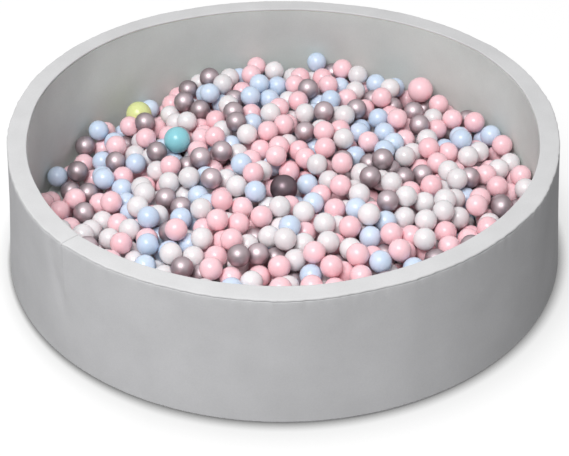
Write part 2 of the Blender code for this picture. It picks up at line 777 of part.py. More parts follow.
def main():
    remove_everything()
    pit = new_collection("ball_pit")
    cutters = new_collection("cutters")
    fabric = finish("cover_fabric", (0.50, 0.50, 0.50), 0.75)
    rim_fabric = finish("rim_fabric", (0.62, 0.62, 0.62), 0.75)
    foam = finish("foam", (0.85, 0.82, 0.70), 0.95)
    tape = finish("zip_tape", (0.42, 0.42, 0.43), 0.85)
    teeth = finish("zip_teeth", (0.45, 0.45, 0.46), 0.45)
    metal = finish("zip_metal", (0.60, 0.60, 0.61), 0.30, 1.0)
    balls = {
        "pink": finish("ball_pink", (0.93, 0.42, 0.47), 0.35),
        "white": finish("ball_white", (0.86, 0.83, 0.85), 0.35),
        "blue": finish("ball_blue", (0.50, 0.66, 0.87), 0.35),
        "silver": finish("ball_silver", (0.30, 0.27, 0.27), 0.30, 0.6),
        "lime": finish("ball_lime", (0.72, 0.80, 0.30), 0.35),
        "teal": finish("ball_teal", (0.20, 0.60, 0.65), 0.35),
        "charcoal": finish("ball_charcoal", (0.12, 0.09, 0.10), 0.30),
    }
    foam_wall(pit, foam)
    foam_floor(pit, foam)
    wall_panels(pit, fabric, rim_fabric)
    floor_panel(pit, fabric)
    underside(pit, cutters, fabric)
    zip_rows(pit, tape, teeth)
    zip_slider(pit, cutters, metal)
    zip_pull_tab(pit, cutters, metal)
    placed, colours = pile_balls()
    names = pick_loose(placed, colours)
    loose_balls(pit, placed, names, balls)
    ball_heap(pit, placed, names, balls["pink"])


main()
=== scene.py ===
"""Foam ball pit: its cover, foam, zip and play balls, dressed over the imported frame.

The ring and floor of foam sit in a grey fabric cover whose panels are sewn together and zipped round the
underside. The pit is heaped with small hollow balls and a few larger ones. Lengths are in metres, +Z is up,
and the origin is on the floor at the centre of the base.
"""

import math
from functools import lru_cache

import bpy
import numpy as np
from bpy.props import FloatProperty, IntProperty, PointerProperty, StringProperty
from mathutils import Matrix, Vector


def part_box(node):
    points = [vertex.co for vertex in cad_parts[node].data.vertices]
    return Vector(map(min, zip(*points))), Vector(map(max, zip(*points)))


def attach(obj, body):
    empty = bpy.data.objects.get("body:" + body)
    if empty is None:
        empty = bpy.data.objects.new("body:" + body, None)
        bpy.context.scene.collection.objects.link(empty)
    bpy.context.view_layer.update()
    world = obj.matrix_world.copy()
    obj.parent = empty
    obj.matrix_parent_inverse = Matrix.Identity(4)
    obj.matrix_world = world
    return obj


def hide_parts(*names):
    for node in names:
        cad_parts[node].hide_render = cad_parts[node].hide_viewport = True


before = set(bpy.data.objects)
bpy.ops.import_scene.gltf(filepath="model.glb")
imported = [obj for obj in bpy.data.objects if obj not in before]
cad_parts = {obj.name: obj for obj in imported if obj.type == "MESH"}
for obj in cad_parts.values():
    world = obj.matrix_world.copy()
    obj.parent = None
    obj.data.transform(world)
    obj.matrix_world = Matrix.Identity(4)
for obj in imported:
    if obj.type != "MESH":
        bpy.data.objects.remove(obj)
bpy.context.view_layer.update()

bl_info = {
    "name": "Foam ball pit",
    "version": (1, 0, 0),
    "blender": (4, 5, 0),
    "location": "3D View > Sidebar > Ball pit",
    "description": "Dresses the ball pit's frame with its cover, foam, zip and play balls",
    "category": "Object",
}

# The pit as the frame has it
RIM_RADIUS = 0.680
BASE_RADIUS = 0.702
PIT_HEIGHT = 0.335
WALL_THICKNESS = 0.049
FLOOR_FOAM = 0.030
SKIN = 0.0015
BASE_SKIN = 0.0025
GAP = 0.0003
RING_STEPS = 48
FRONT_JOINT_DEG = 223.5
BACK_JOINT_DEG = 36.0

# The zip as the frame has it
ZIP_RADIUS = 0.676
ZIP_SLIT = 0.0032
ZIP_TEETH_WIDTH = 0.0022
ZIP_TEETH_HEIGHT = 0.0020
ZIP_TAPE_WIDTH = 0.0125
ZIP_TAPE_THICKNESS = 0.0008
ZIP_HEM_HEIGHT = 0.0034
ZIP_HEM_WIDTH = 0.0080
ZIP_STOP_LENGTH = 0.0040
ZIP_SEWN_DEG = 22.5
ZIP_SEWN_MIDDLE_DEG = 92.25
ZIP_PANEL_GAP = 0.0062
ZIP_GROOVE_HALF = 0.0156
ZIP_GROOVE_TOP = 0.0097
TAPE_INSET = 0.0003
TAPE_END_INSET = 0.0004
TEETH_UNDER_TAPE = 0.00015

# The heap as the frame has it. These values give the same balls at the same places. The frame gives the
# loose balls' colours, and the shares colour the rest.
BALL_RADIUS = 0.0278
LARGE_BALL_RADIUS = 0.0350
BALL_CLEARANCE = 0.0004
HEAP_AT_WALL = 0.150
HEAP_CROWN = 0.045
HEAP_BACK_RISE = 0.020
HEAP_LEFT_DIP = 0.060
HEAP_SWELL_SPREAD = 0.330
HEAP_BACK_RISE_SHARES = (0.22, 0.95)
HEAP_LEFT_DIP_SHARES = (-0.97, 0.20)
LARGE_BALLS_SHARES = {
    "lime": (-0.620, 0.650),
    "teal": (-0.436, 0.331),
    "charcoal": (0.000, -0.015),
    "pink": (0.588, 0.702),
}
COLOUR_SHARES = {"pink": 0.410, "white": 0.280, "silver": 0.165, "blue": 0.145}
SEED = 11
MISSES_TO_FULL = 160
ROLL_DIRECTIONS = 10
ROLL_TRIES = 34
FIRST_STEP_SHARE = 0.5
STEP_SHRINK_SHARE = 0.6
NEIGHBOUR_SHARE = 6.0
BURIED_SHARE = 2.6

# Mica pearl pigment: how metallic it looks, its colour at the edges, and each pearl ball's roughness
PEARL_METALLIC = 0.80
PEARL_EDGE = "#958A8D"
PEARL_ROUGHNESS = {"silver": 0.46, "charcoal": 0.40}

# Marks drawn on the materials. WAVES_PER_METRE over a spacing is the scale of a wave pattern so spaced.
WAVES_PER_METRE = 2 * math.pi / 20
LOOPS_DRAWN = 0.0016
TWILL_DRAWN = 0.0012
STITCH_LENGTH = 0.0030
STITCH_FROM_FOLD = 0.0040
RIDGE_DRAWN = 0.0009
PLUG_RADIUS = 0.0025

# Cloth and seams of the dressed cover
CLOTH = 0.0012
SEAM_BELOW_RIM = 0.0062
SEAM_TUCK = 0.0030
SEAM_OPEN = 0.0005
OUTER_ROLL = 0.0032
INNER_ROLL = 0.0022
TUCK_ROLL = 0.0009
FOLD_ROLL = 0.0006
RING_COLUMNS = 900
SEAM_COLUMN_ARC = 0.0008
SEAM_REACH = 0.014
DISC_COLUMNS = 192
HEM_BEHIND = 0.0020
SEAM_SHADE_REACH = 0.0014
ZIP_COLUMNS = 480
FOAM_COLUMNS = 720
FOAM_ROLLS = (0.0006, 0.0008, 0.0030, 0.0040, 0.0008, 0.0006)
FOAM_STRIPS = ["foam_strip_back", "foam_strip_front"]

# How far the soft ring's rim stands out of round, in mm, at equal steps round it from +X, as the photograph
# has it. Where a loose ball lies at the wall, it leans in less, so that the ball can be lifted past it.
RIM_LEAN_MM = (-3.5, 7, 2, -13, -17, -8, 13, 11, -0.5, -3, 2, -1, -2, -8, -9.5, -3.5)
BALLS_BELOW = 0.165

# The soft ring's shape. Reaches round it are in radians. Waves are given by their counts round the ring, and
# a gain brings them back to a height of about 1. The second crease and the groove's lips each have a share
# of the first one's depth, a place beside it and a reach.
FREE_HEIGHT = 0.180
CORNER_REACH = 0.070
BACK_CORNER_SHARE = 0.9
RIPPLES = (7, 12, 19, 29, 43)
LOW_RIPPLES = (9, 17, 26)
LOW_RIPPLE_SLOPE = 0.006
PUCKERS = (97, 131, 163, 211)
PUCKER_GAIN = 100
PUCKER_REACH = 0.012
CREASE_LEAN_DEG = 3.6
CREASE_REACH = 0.032
SECOND_CREASE = (0.35, 0.110, 0.060)
GROOVE_REACH = 0.0019
GROOVE_LIPS = (0.15, 0.0065, 0.0042)
TOP_WAVES = (11, 23, 37, 61)
TOP_WAVE_DEPTH = 0.00045
TOP_WAVE_GAIN = 14

# Each lamp's direction round and above the pit in degrees, its distance and its width
LAMPS = {
    "key": (242.0, 58.0, 6.0, 2.8),
    "front": (265.0, 51.0, 8.0, 0.70),
    "back": (80.0, 14.0, 8.0, 3.0),
}

# How far off the floor feels the base, and its share of white where it is most shut in
FLOOR_SHADES = ((0.030, 0.34), (0.13, 0.76))
WHITE = (1.0, 1.0, 1.0, 1.0)

# The photograph's camera: where it stands, how far it tips, and its lens
CAMERA_PLACE = (0.0010, -3.3376, 2.4612)
CAMERA_ELEVATION_DEG = 36.08
CAMERA_ROLL_DEG = -0.40
CAMERA_LENS = 101.27
SENSOR = 36.0


def linear(code):
    """An sRGB hex colour as linear red, green, blue and alpha."""
    shades = np.array([int(code[i : i + 2], 16) for i in (1, 3, 5)]) / 255
    values = np.where(shades <= 0.04045, shades / 12.92, ((shades + 0.055) / 1.055) ** 2.4)
    return (*values.tolist(), 1.0)


class CoverSettings(bpy.types.PropertyGroup):
    wall_colour: StringProperty(
        name="Wall fabric", description="Colour of the outer wall and the underside, as hex",
        default="#D4D4D6",
    )
    rim_colour: StringProperty(
        name="Rim fabric", description="Colour of the panel over the rim, as hex", default="#CFCFD0"
    )
    inner_colour: StringProperty(
        name="Inner fabric", description="Colour of the wall and floor panels inside, as hex",
        default="#D0D5D2",
    )
    ripple_slope: FloatProperty(
        name="Ripple slope", description="Slope of the soft bands round the outer wall", default=0.015
    )
    pucker_depth: FloatProperty(
        name="Pucker depth", description="Depth of the puckers along the top seam", default=0.00045,
        unit="LENGTH",
    )
    crease_depth: FloatProperty(
        name="Crease depth", description="Depth of the dent where two foam ends meet", default=0.0021,
        unit="LENGTH",
    )
    groove_depth: FloatProperty(
        name="Seam depth", description="Depth of the seam across the rim", default=0.0016, unit="LENGTH"
    )
    hollow: FloatProperty(
        name="Hollow", description="How far the outer wall sinks in at half height", default=0.0012,
        unit="LENGTH",
    )
    corner: FloatProperty(
        name="Joint corner", description="How far the ring stands out at a foam joint", default=0.0042,
        unit="LENGTH",
    )


class FoamSettings(bpy.types.PropertyGroup):
    colour: StringProperty(name="Foam", description="Colour of the foam, as hex", default="#F1ECDD")
    cell: FloatProperty(
        name="Cell", description="Size of a foam cell as drawn", default=0.0016, unit="LENGTH"
    )


class ZipSettings(bpy.types.PropertyGroup):
    tape_colour: StringProperty(
        name="Tape", description="Colour of the zip tapes, as hex", default="#C9C9CB"
    )
    tooth_colour: StringProperty(name="Teeth", description="Colour of the teeth, as hex", default="#CDCDCF")
    tooth_pitch: FloatProperty(
        name="Tooth pitch", description="Distance from tooth to tooth", default=0.0024, unit="LENGTH"
    )


class BallSettings(bpy.types.PropertyGroup):
    pink: StringProperty(name="Pink", description="Colour of the pink balls, as hex", default="#FED1D8")
    white: StringProperty(name="White", description="Colour of the white balls, as hex", default="#EAE6E8")
    blue: StringProperty(name="Blue", description="Colour of the blue balls, as hex", default="#D1E1F5")
    silver: StringProperty(
        name="Silver", description="Colour of the silver balls, as hex", default="#BEAFB4"
    )
    lime: StringProperty(name="Lime", description="Colour of the lime ball, as hex", default="#DFE7A0")
    teal: StringProperty(name="Teal", description="Colour of the teal ball, as hex", default="#97D8E2")
    charcoal: StringProperty(
        name="Charcoal", description="Colour of the charcoal ball, as hex", default="#6F6268"
    )
    heap_cells: IntProperty(
        name="Heap cells", description="Cells along a cube's edge on the balls in view", default=4, min=2
    )
    buried_cells: IntProperty(
        name="Buried cells", description="Cells along a cube's edge on the buried balls", default=2, min=2
    )
    loose_cells: IntProperty(
        name="Loose cells", description="Cells along a cube's edge on the loose balls", default=10, min=2
    )


class StageSettings(bpy.types.PropertyGroup):
    key_level: FloatProperty(
        name="Key light", description="White level that the large lamp alone gives", default=0.73
    )
    front_level: FloatProperty(
        name="Front light", description="White level that the small lamp alone gives", default=0.12
    )
    back_level: FloatProperty(
        name="Back light", description="White level that the low lamp behind the pit gives", default=0.20
    )
    sky_level: FloatProperty(name="Sky", description="White level of the light all round", default=0.35)
    floor_shadow: FloatProperty(
        name="Floor shadow", description="Share of the floor's white that the lamps' shadows take away",
        default=0.18,
    )
    floor_bounce: FloatProperty(
        name="Floor bounce", description="Share of the light that the floor throws back up", default=0.12
    )


def outer_radius(height):
    """Outside of the pit: it flares evenly from the rim to the floor."""
    return BASE_RADIUS + (RIM_RADIUS - BASE_RADIUS) * height / PIT_HEIGHT


def inner_radius(height):
    """Inside of the pit: one wall further in."""
    return outer_radius(height) - WALL_THICKNESS


def floor_top():
    """Top of the floor panel, over the base panel and the floor foam."""
    return BASE_SKIN + GAP + FLOOR_FOAM + GAP + SKIN


def zip_line():
    """Radius that the slider runs on, midway between a flat side and a corner of the frame's rings."""
    return ZIP_RADIUS * (1 + math.cos(math.pi / RING_STEPS)) / 2


def eased(share):
    """From 0 to 1 with no corner: three times the square less twice the cube."""
    share = np.clip(share, 0.0, 1.0)
    return share * share * (3 - 2 * share)


def bell(away, reach):
    """A bell curve of height 1: e to the power of minus the square of away over reach."""
    return np.exp(-((away / reach) ** 2))


def turn_from(angle, degrees):
    """The short way round from one direction to an angle, in radians."""
    return (angle - math.radians(degrees) + math.pi) % (2 * math.pi) - math.pi


def waves(angle, counts, seed):
    """The sum of one sine per count round the ring, each with a random phase and its count as divisor,
    so that all have the same slope."""
    phases = np.random.default_rng(seed).uniform(0, 2 * math.pi, len(counts))
    counts = np.array(counts)
    return (np.sin(np.asarray(angle)[..., None] * counts + phases) / counts).sum(axis=-1)


def rim_lean(angle):
    """How far out the rim leans at an angle: a smooth closed curve through the steps of RIM_LEAN_MM, with
    each step's slope half the rise from the step before it to the step after it."""
    steps = np.array(RIM_LEAN_MM) / 1000
    place = angle % (2 * math.pi) / (2 * math.pi) * len(steps)
    first = np.floor(place).astype(int)
    share = place - first
    before, here, there, after = (steps[(first + step) % len(steps)] for step in (-1, 0, 1, 2))
    bend = share**2 * (3 - 2 * share)
    leave, arrive = share * (1 - share) ** 2, share**2 * (share - 1)
    return here + bend * (there - here) + leave * (there - before) / 2 + arrive * (after - here) / 2


def settled(radius, height, angle):
    """Where a point of the ideal ring lies on the real one, as radius and height. The ring stands out in a
    blunt corner at each foam joint, and it leans in and out, its inner face only above the balls. Its
    outer face is hollow and rippled, dented beside the front joint and puckered along the top seam. The
    rim has a groove over the front joint. The base holds the ring, so that all of it fades out towards the
    floor."""
    cover = bpy.context.scene.ball_pit_cover
    radius, height, angle = np.broadcast_arrays(radius, height, angle)
    across = eased((outer_radius(height) - radius) / WALL_THICKNESS)
    free = eased(height / FREE_HEIGHT)
    front, back = turn_from(angle, FRONT_JOINT_DEG), turn_from(angle, BACK_JOINT_DEG)
    corners = np.exp(-np.abs(front) / CORNER_REACH)
    corners = corners + BACK_CORNER_SHARE * np.exp(-np.abs(back) / CORNER_REACH)
    ripples = cover.ripple_slope * RIM_RADIUS * waves(angle, RIPPLES, seed=3)
    low_ripples = LOW_RIPPLE_SLOPE * RIM_RADIUS * waves(angle, LOW_RIPPLES, seed=5)
    hollow = cover.hollow * np.sin(math.pi * np.clip(height / PIT_HEIGHT, 0, 1))
    leaned = front + math.radians(CREASE_LEAN_DEG) * eased((height - 0.12) / 0.17)
    crease = bell(leaned, CREASE_REACH) * eased((height - 0.02) / 0.20)
    share, beside, reach = SECOND_CREASE
    crease += share * bell(leaned - beside, reach) * eased((height - 0.10) / 0.15)
    from_seam = np.abs(height - (PIT_HEIGHT - SEAM_BELOW_RIM))
    fine = waves(angle, PUCKERS, seed=13) * PUCKER_GAIN
    pucker = cover.pucker_depth * fine * np.exp(-from_seam / PUCKER_REACH)
    outside = ripples - hollow - cover.crease_depth * crease + pucker
    leaning = (1 - across) * height / PIT_HEIGHT
    leaning += across * eased((height - BALLS_BELOW) / (PIT_HEIGHT - BALLS_BELOW))
    bent = leaning * (cover.corner * corners + rim_lean(angle))
    moved = radius + bent + free * ((1 - across) * outside - across * low_ripples)
    near_top = eased((height - PIT_HEIGHT + 0.030) / 0.024)
    arc = front * radius
    share, beside, reach = GROOVE_LIPS
    groove = bell(arc, GROOVE_REACH) - share * bell(np.abs(arc) - beside, reach)
    top_wave = TOP_WAVE_DEPTH * waves(angle, TOP_WAVES, seed=21) * TOP_WAVE_GAIN
    sunk = near_top * (cover.groove_depth * groove + top_wave * np.sin(math.pi * across))
    return moved, height - sunk


def unmoved(radius, height, angle):
    """A point stays where it is."""
    radius, height, angle = np.broadcast_arrays(radius, height, angle)
    return radius, height


def rounded(corners, radii, spacing):
    """A path of straight runs between corners, each corner turned on an arc of its radius. A run is cut
    into equal parts no longer than the spacing, and an arc into parts of 18 degrees."""
    corners = [np.array(corner, float) for corner in corners]
    marks = [corners[0][None]]
    for before, corner, after, radius in zip(corners, corners[1:], corners[2:], radii):
        back = (before - corner) / np.linalg.norm(before - corner)
        on = (after - corner) / np.linalg.norm(after - corner)
        half = math.acos(np.clip(back @ on, -1, 1)) / 2
        centre = corner + (back + on) / np.linalg.norm(back + on) * radius / math.sin(half)
        start = corner + back * radius / math.tan(half) - centre
        side = (start[0] * on[1] - start[1] * on[0] > 0) * 2 - 1
        turn = math.pi - 2 * half
        steps = np.linspace(0, turn, max(2, math.ceil(turn / math.radians(18))) + 1) * side
        turned = np.stack([np.cos(steps) * start[0] - np.sin(steps) * start[1],
                           np.sin(steps) * start[0] + np.cos(steps) * start[1]], axis=1)
        marks.append(centre + turned)
    marks.append(corners[-1][None])
    path = [marks[0]]
    for here, there in zip(marks, marks[1:]):
        length = np.linalg.norm(there[0] - here[-1])
        parts = max(1, math.ceil(length / spacing))
        shares = np.linspace(0, 1, parts + 1)[1:-1, None]
        path.append(here[-1] + shares * (there[0] - here[-1]))
        path.append(there)
    return np.vstack(path)


def strip(path, thickness):
    """Outline of a cloth strip seen end on: the path moved half a thickness to its left, a round end, the
    path moved to its right and run backwards, and a round start."""
    along = np.gradient(path, axis=0)
    along /= np.linalg.norm(along, axis=1)[:, None]
    left = np.stack([-along[:, 1], along[:, 0]], axis=1)
    turn = np.radians([45, 90, 135])[:, None]
    end = path[-1] + thickness / 2 * (np.cos(turn) * left[-1] + np.sin(turn) * along[-1])
    start = path[0] - thickness / 2 * (np.cos(turn) * left[0] + np.sin(turn) * along[0])
    return np.vstack([path + thickness / 2 * left, end, (path - thickness / 2 * left)[::-1], start])


def ring_angles(start_deg=0.0, end_deg=360.0, columns=RING_COLUMNS):
    """Angles from start to end in even steps, with finer ones at the front joint, where the seam is."""
    even = np.linspace(start_deg, end_deg, max(2, round(columns * (end_deg - start_deg) / 360)) + 1)
    reach = math.degrees(SEAM_REACH / RIM_RADIUS)
    fine_count = round(2 * SEAM_REACH / SEAM_COLUMN_ARC)
    kept = [even]
    for turn in (0.0, 360.0):
        fine = FRONT_JOINT_DEG + turn + np.linspace(-reach, reach, fine_count + 1)
        kept.append(fine[(fine > start_deg) & (fine < end_deg)])
    angles = np.unique(np.concatenate(kept).round(6))
    keep = np.append(np.diff(angles) > math.degrees(SEAM_COLUMN_ARC / RIM_RADIUS) / 2, True)
    keep[0] = True
    return np.radians(angles[keep])


def linked(name, data):
    """An object of its own for a mesh, lamp or camera, in the scene."""
    made = bpy.data.objects.new(name, data)
    bpy.context.scene.collection.objects.link(made)
    return made


def add_piece(name, points, faces, material, body, nodes, spread=None, shades=None):
    """A mesh object that rides on a body and stands for CAD nodes. spread is one pair per face corner for
    the cloth map, and shades are point attributes by name."""
    mesh = bpy.data.meshes.new(name)
    mesh.from_pydata(points, [], faces)
    mesh.shade_smooth()
    mesh.set_sharp_from_angle(angle=math.radians(50))
    if spread is not None:
        mesh.uv_layers.new(name="cloth").uv.foreach_set("vector", spread.ravel())
    for title, values in (shades or {}).items():
        mesh.attributes.new(title, "FLOAT", "POINT").data.foreach_set("value", values.ravel())
    mesh.materials.append(material)
    piece = linked(name, mesh)
    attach(piece, body)
    if nodes:
        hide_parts(*nodes)
    return piece


def add_sheet(name, shape, material, slot, nodes, shades=None, **hold):
    """A sheet of cloth on the pit from its points, faces and cloth map. hold, its flat size, how it is held
    and what it rests on, is not used."""
    points, faces, spread = shape
    made = add_piece(name, points, faces, material, "pit", nodes, spread, shades)


def add_foam(name, shape, material, replaced):
    """A block of foam in the pit from its points, faces and cloth map, in the place of a CAD node."""
    points, faces, spread = shape
    made = add_piece(name, points, faces, material, "pit", [replaced], spread)


def turned(outline, columns, move):
    """Points of an outline of radius and height at each angle round Z, moved. Row is the place on the
    outline and column the angle."""
    radius, height = move(outline[:, :1], outline[:, 1:], columns[None])
    return np.stack([radius * np.cos(columns), radius * np.sin(columns), height], axis=-1).reshape(-1, 3)


def swept(outline, angles, whole, move):
    """An outline of radius and height carried round Z through the angles, with each point moved. A face
    joins each two neighbouring rows and columns of points.
    A whole turn closes on itself, and a part turn gets flat ends. Returns points, faces and cloth map."""
    rows = len(outline)
    columns = angles[:-1] if whole else angles
    points = turned(outline, columns, move)
    count = len(columns)
    row, column = np.meshgrid(np.arange(rows), np.arange(len(angles) - 1), indexing="ij")
    next_row, next_column = (row + 1) % rows, (column + 1) % count
    grid = [row * count + column, next_row * count + column]
    grid += [next_row * count + next_column, row * count + next_column]
    faces = np.stack(grid, axis=-1).reshape(-1, 4)
    ends = np.vstack([outline, outline[:1]])
    along = np.append(0.0, np.cumsum(np.linalg.norm(np.diff(ends, axis=0), axis=1)))
    round_it = angles * outline[:, 0].mean()
    spread = np.stack([
        np.stack([round_it[column], along[row]], axis=-1),
        np.stack([round_it[column], along[row + 1]], axis=-1),
        np.stack([round_it[column + 1], along[row + 1]], axis=-1),
        np.stack([round_it[column + 1], along[row]], axis=-1),
    ], axis=2).reshape(-1, 2)
    faces = faces.tolist()
    if not whole:
        first = np.arange(rows) * count
        faces += [first[::-1].tolist(), (first + count - 1).tolist()]
        spread = np.vstack([spread, np.zeros((2 * rows, 2))])
    return points, faces, spread


def disc(outline, angles, move):
    """An outline that starts and ends on the axis, turned round it: rows between two poles. The cloth map
    is the place seen from above. Returns points, faces and cloth map."""
    columns = angles[:-1]
    inner = outline[1:-1]
    rows, count = len(inner), len(columns)
    poles = [[0.0, 0.0, outline[0, 1]], [0.0, 0.0, outline[-1, 1]]]
    points = np.vstack([turned(inner, columns, move), poles])
    row, column = np.meshgrid(np.arange(rows - 1), np.arange(count), indexing="ij")
    on = (column + 1) % count
    grid = [row * count + column, (row + 1) * count + column, (row + 1) * count + on, row * count + on]
    quads = np.stack(grid, axis=-1).reshape(-1, 4)
    here = np.arange(count)
    there = (here + 1) % count
    last = (rows - 1) * count
    first_fan = np.stack([np.full(count, rows * count), here, there], axis=1)
    last_fan = np.stack([last + here, np.full(count, rows * count + 1), last + there], axis=1)
    faces = quads.tolist() + first_fan.tolist() + last_fan.tolist()
    corners = np.concatenate([quads.ravel(), first_fan.ravel(), last_fan.ravel()])
    return points, faces, points[corners, :2]


def feed(tree, made, inputs):
    """Gives a node's sockets their values, or their links. A link comes from the given socket, or from the
    first output in use of the given node."""
    for key, value in inputs.items():
        if isinstance(value, bpy.types.Node):
            value = next(output for output in value.outputs if output.enabled)
        if isinstance(value, bpy.types.NodeSocket):
            tree.links.new(value, made.inputs[key])
        else:
            made.inputs[key].default_value = value


def node(tree, kind, inputs=None, **settings):
    """Adds a shader node with its settings, and gives its sockets their values or links."""
    made = tree.nodes.new(f"ShaderNode{kind}")
    for key, value in settings.items():
        setattr(made, key, value)
    feed(tree, made, inputs or {})
    return made


def seen_straight(tree):
    """1 for the camera's rays, for reflections and for what is seen through a clear piece, else 0."""
    ray = node(tree, "LightPath").outputs
    mirrored = node(tree, "Math", {0: ray["Is Camera Ray"], 1: ray["Is Glossy Ray"]}, operation="MAXIMUM")
    return node(tree, "Math", {0: mirrored, 1: ray["Is Transmission Ray"]}, operation="MAXIMUM")


def fresh_material(name):
    """An empty material, its node tree, its Principled shader, and the place on the object."""
    made = bpy.data.materials.new(name)
    made.use_nodes = True
    tree = made.node_tree
    return made, tree, tree.nodes["Principled BSDF"], node(tree, "TexCoord").outputs["Object"]


def strengths(colour, *shares):
    """A hex colour at several strengths, each a share of it or one share for each of its lights."""
    base = np.array(linear(colour)[:3])
    return [(*(base * share), 1.0) for share in shares]


def brushed_jersey(name, colour, stitched=False):
    """Brushed polyester jersey, knitted and then napped. The nap gives a matt face with a faint sheen at
    the edges, cloudy where it lies one way or the other, and fine ribs of loops show through it, with
    painted light on the loops' tops. Loops are 0.9 mm apart on the cloth and drawn 1.6 mm apart, so that
    they show. A sewn seam, where a piece has one, gets a painted line of shade with some dust in it."""
    made, tree, shader, place = fresh_material(name)
    cloth = node(tree, "UVMap", uv_map="cloth")
    cloud = node(tree, "TexNoise", {"Vector": place, "Scale": 9.0, "Detail": 3.0, "Roughness": 0.55})
    nap = node(tree, "TexNoise", {"Vector": place, "Scale": 260.0, "Detail": 2.0})
    scale = WAVES_PER_METRE / LOOPS_DRAWN
    ribs = {"Vector": cloth, "Distortion": 0.6, "Detail": 1.0}
    wales = node(tree, "TexWave", {**ribs, "Scale": scale}, bands_direction="X").outputs["Fac"]
    courses = node(tree, "TexWave", {**ribs, "Scale": scale * 1.3}, bands_direction="Y").outputs["Fac"]
    loops = node(tree, "Math", {0: wales, 1: courses}, operation="MULTIPLY")
    dark, light = strengths(colour, 0.955, 1.035)
    tone = node(tree, "MapRange", {"Value": cloud, "From Min": 0.30, "From Max": 0.70})
    clouded = node(tree, "Mix", {"Factor": tone, 6: dark, 7: light}, data_type="RGBA")
    napped = node(tree, "Math", {0: nap, 1: 0.10, 2: 0.95}, operation="MULTIPLY_ADD")
    # The nap's own tone, with painted light on the tops of the knit loops, up to 5 % lighter.
    nap_tone_and_loop_light = node(tree, "Math", {0: loops, 1: 0.05, 2: napped}, operation="MULTIPLY_ADD")
    # A painted line of shade, with some dust, along a sewn seam: the colour falls to 0.74 at its middle.
    seam = node(tree, "Attribute", attribute_name="seam").outputs["Fac"]
    seam_shade_and_dust = node(tree, "MapRange", {"Value": seam, "To Min": 1.0, "To Max": 0.74})
    wear_and_shade = node(tree, "Math", {0: nap_tone_and_loop_light, 1: seam_shade_and_dust}, operation="MULTIPLY")
    shade = node(tree, "VectorMath", {0: clouded, "Scale": wear_and_shade}, operation="SCALE")
    height = loops
    if stitched:
        shade, height = add_topstitch(tree, place, cloth, shade, height)
    relief = node(tree, "Math", {0: nap, 1: 0.7, 2: height}, operation="MULTIPLY_ADD")
    bump = node(tree, "Bump", {"Strength": 0.35, "Distance": 0.0004, "Height": relief})
    feed(tree, shader, {
        "Base Color": shade, "Normal": bump, "Roughness": 0.82,
        "Specular IOR Level": 0.04, "Sheen Weight": 0.02, "Sheen Roughness": 0.45,
    })
    return made


def add_topstitch(tree, place, cloth, colour, height):
    """A row of sewn stitches in from the folded edge: each a small raised dash of thread between two
    needle holes. Returns the new colour and height."""
    along = node(tree, "SeparateXYZ", {0: cloth}).outputs["X"]
    phase = node(tree, "Math", {0: along, 1: 2 * math.pi / STITCH_LENGTH}, operation="MULTIPLY")
    dash = node(tree, "Math", {0: phase}, operation="SINE")
    on_dash = node(tree, "MapRange", {"Value": dash, "From Min": -0.6, "From Max": -0.1},
                   interpolation_type="SMOOTHSTEP")
    flat = node(tree, "VectorMath", {0: place, 1: (1.0, 1.0, 0.0)}, operation="MULTIPLY")
    reach = node(tree, "VectorMath", {0: flat}, operation="LENGTH")
    from_zip = node(tree, "Math", {0: reach, 1: zip_line()}, operation="SUBTRACT")
    side = node(tree, "Math", {0: from_zip}, operation="ABSOLUTE")
    off_row = node(tree, "Math", {0: side, 1: ZIP_PANEL_GAP + STITCH_FROM_FOLD}, operation="SUBTRACT")
    off = node(tree, "Math", {0: off_row}, operation="ABSOLUTE")
    on_row = node(tree, "MapRange", {"Value": off, "From Min": 0.0007, "From Max": 0.0002},
                  interpolation_type="SMOOTHSTEP")
    thread = node(tree, "Math", {0: on_dash, 1: on_row}, operation="MULTIPLY")
    shaded = node(tree, "Mix", {"Factor": on_row, 6: colour, 7: linear("#9B9B9E")}, data_type="RGBA")
    sewn = node(tree, "Mix", {"Factor": thread, 6: shaded, 7: linear("#E4E4E6")}, data_type="RGBA")
    sunk = node(tree, "Math", {0: on_row, 1: -1.5, 2: height}, operation="MULTIPLY_ADD")
    return sewn, node(tree, "Math", {0: thread, 1: 3.5, 2: sunk}, operation="MULTIPLY_ADD")


def open_cell_foam(name, colour, cell):
    """Flexible polyurethane foam, cut from a block. The cut opens its cells, so the face is matt and pitted
    all over, with painted shade in the cells' hollows. Real cells are 0.6 mm across and drawn larger, so
    that they show."""
    made, tree, shader, place = fresh_material(name)
    cells = node(tree, "TexVoronoi", {"Vector": place, "Scale": 1 / cell}, feature="F1")
    age = node(tree, "TexNoise", {"Vector": place, "Scale": 7.0, "Detail": 3.0})
    # The cells' hollows get painted shade, at 0.7 of the foam's colour; the other colour is the foam's own
    # yellowing with age.
    pit, aged = strengths(colour, 0.70, np.array([1.0, 0.96, 0.86]))
    body = node(tree, "Mix", {"Factor": age, 6: linear(colour), 7: aged}, data_type="RGBA")
    depth = node(tree, "MapRange", {
        "Value": cells, "From Min": 0.1, "From Max": 0.6, "To Min": 0.55, "To Max": 0.0,
    })
    pitted = node(tree, "Mix", {"Factor": depth, 6: body, 7: pit}, data_type="RGBA")
    bump = node(tree, "Bump", {"Strength": 0.5, "Distance": 0.0006, "Height": cells})
    feed(tree, shader, {"Base Color": pitted, "Normal": bump, "Roughness": 0.95, "Specular IOR Level": 0.2})
    return made


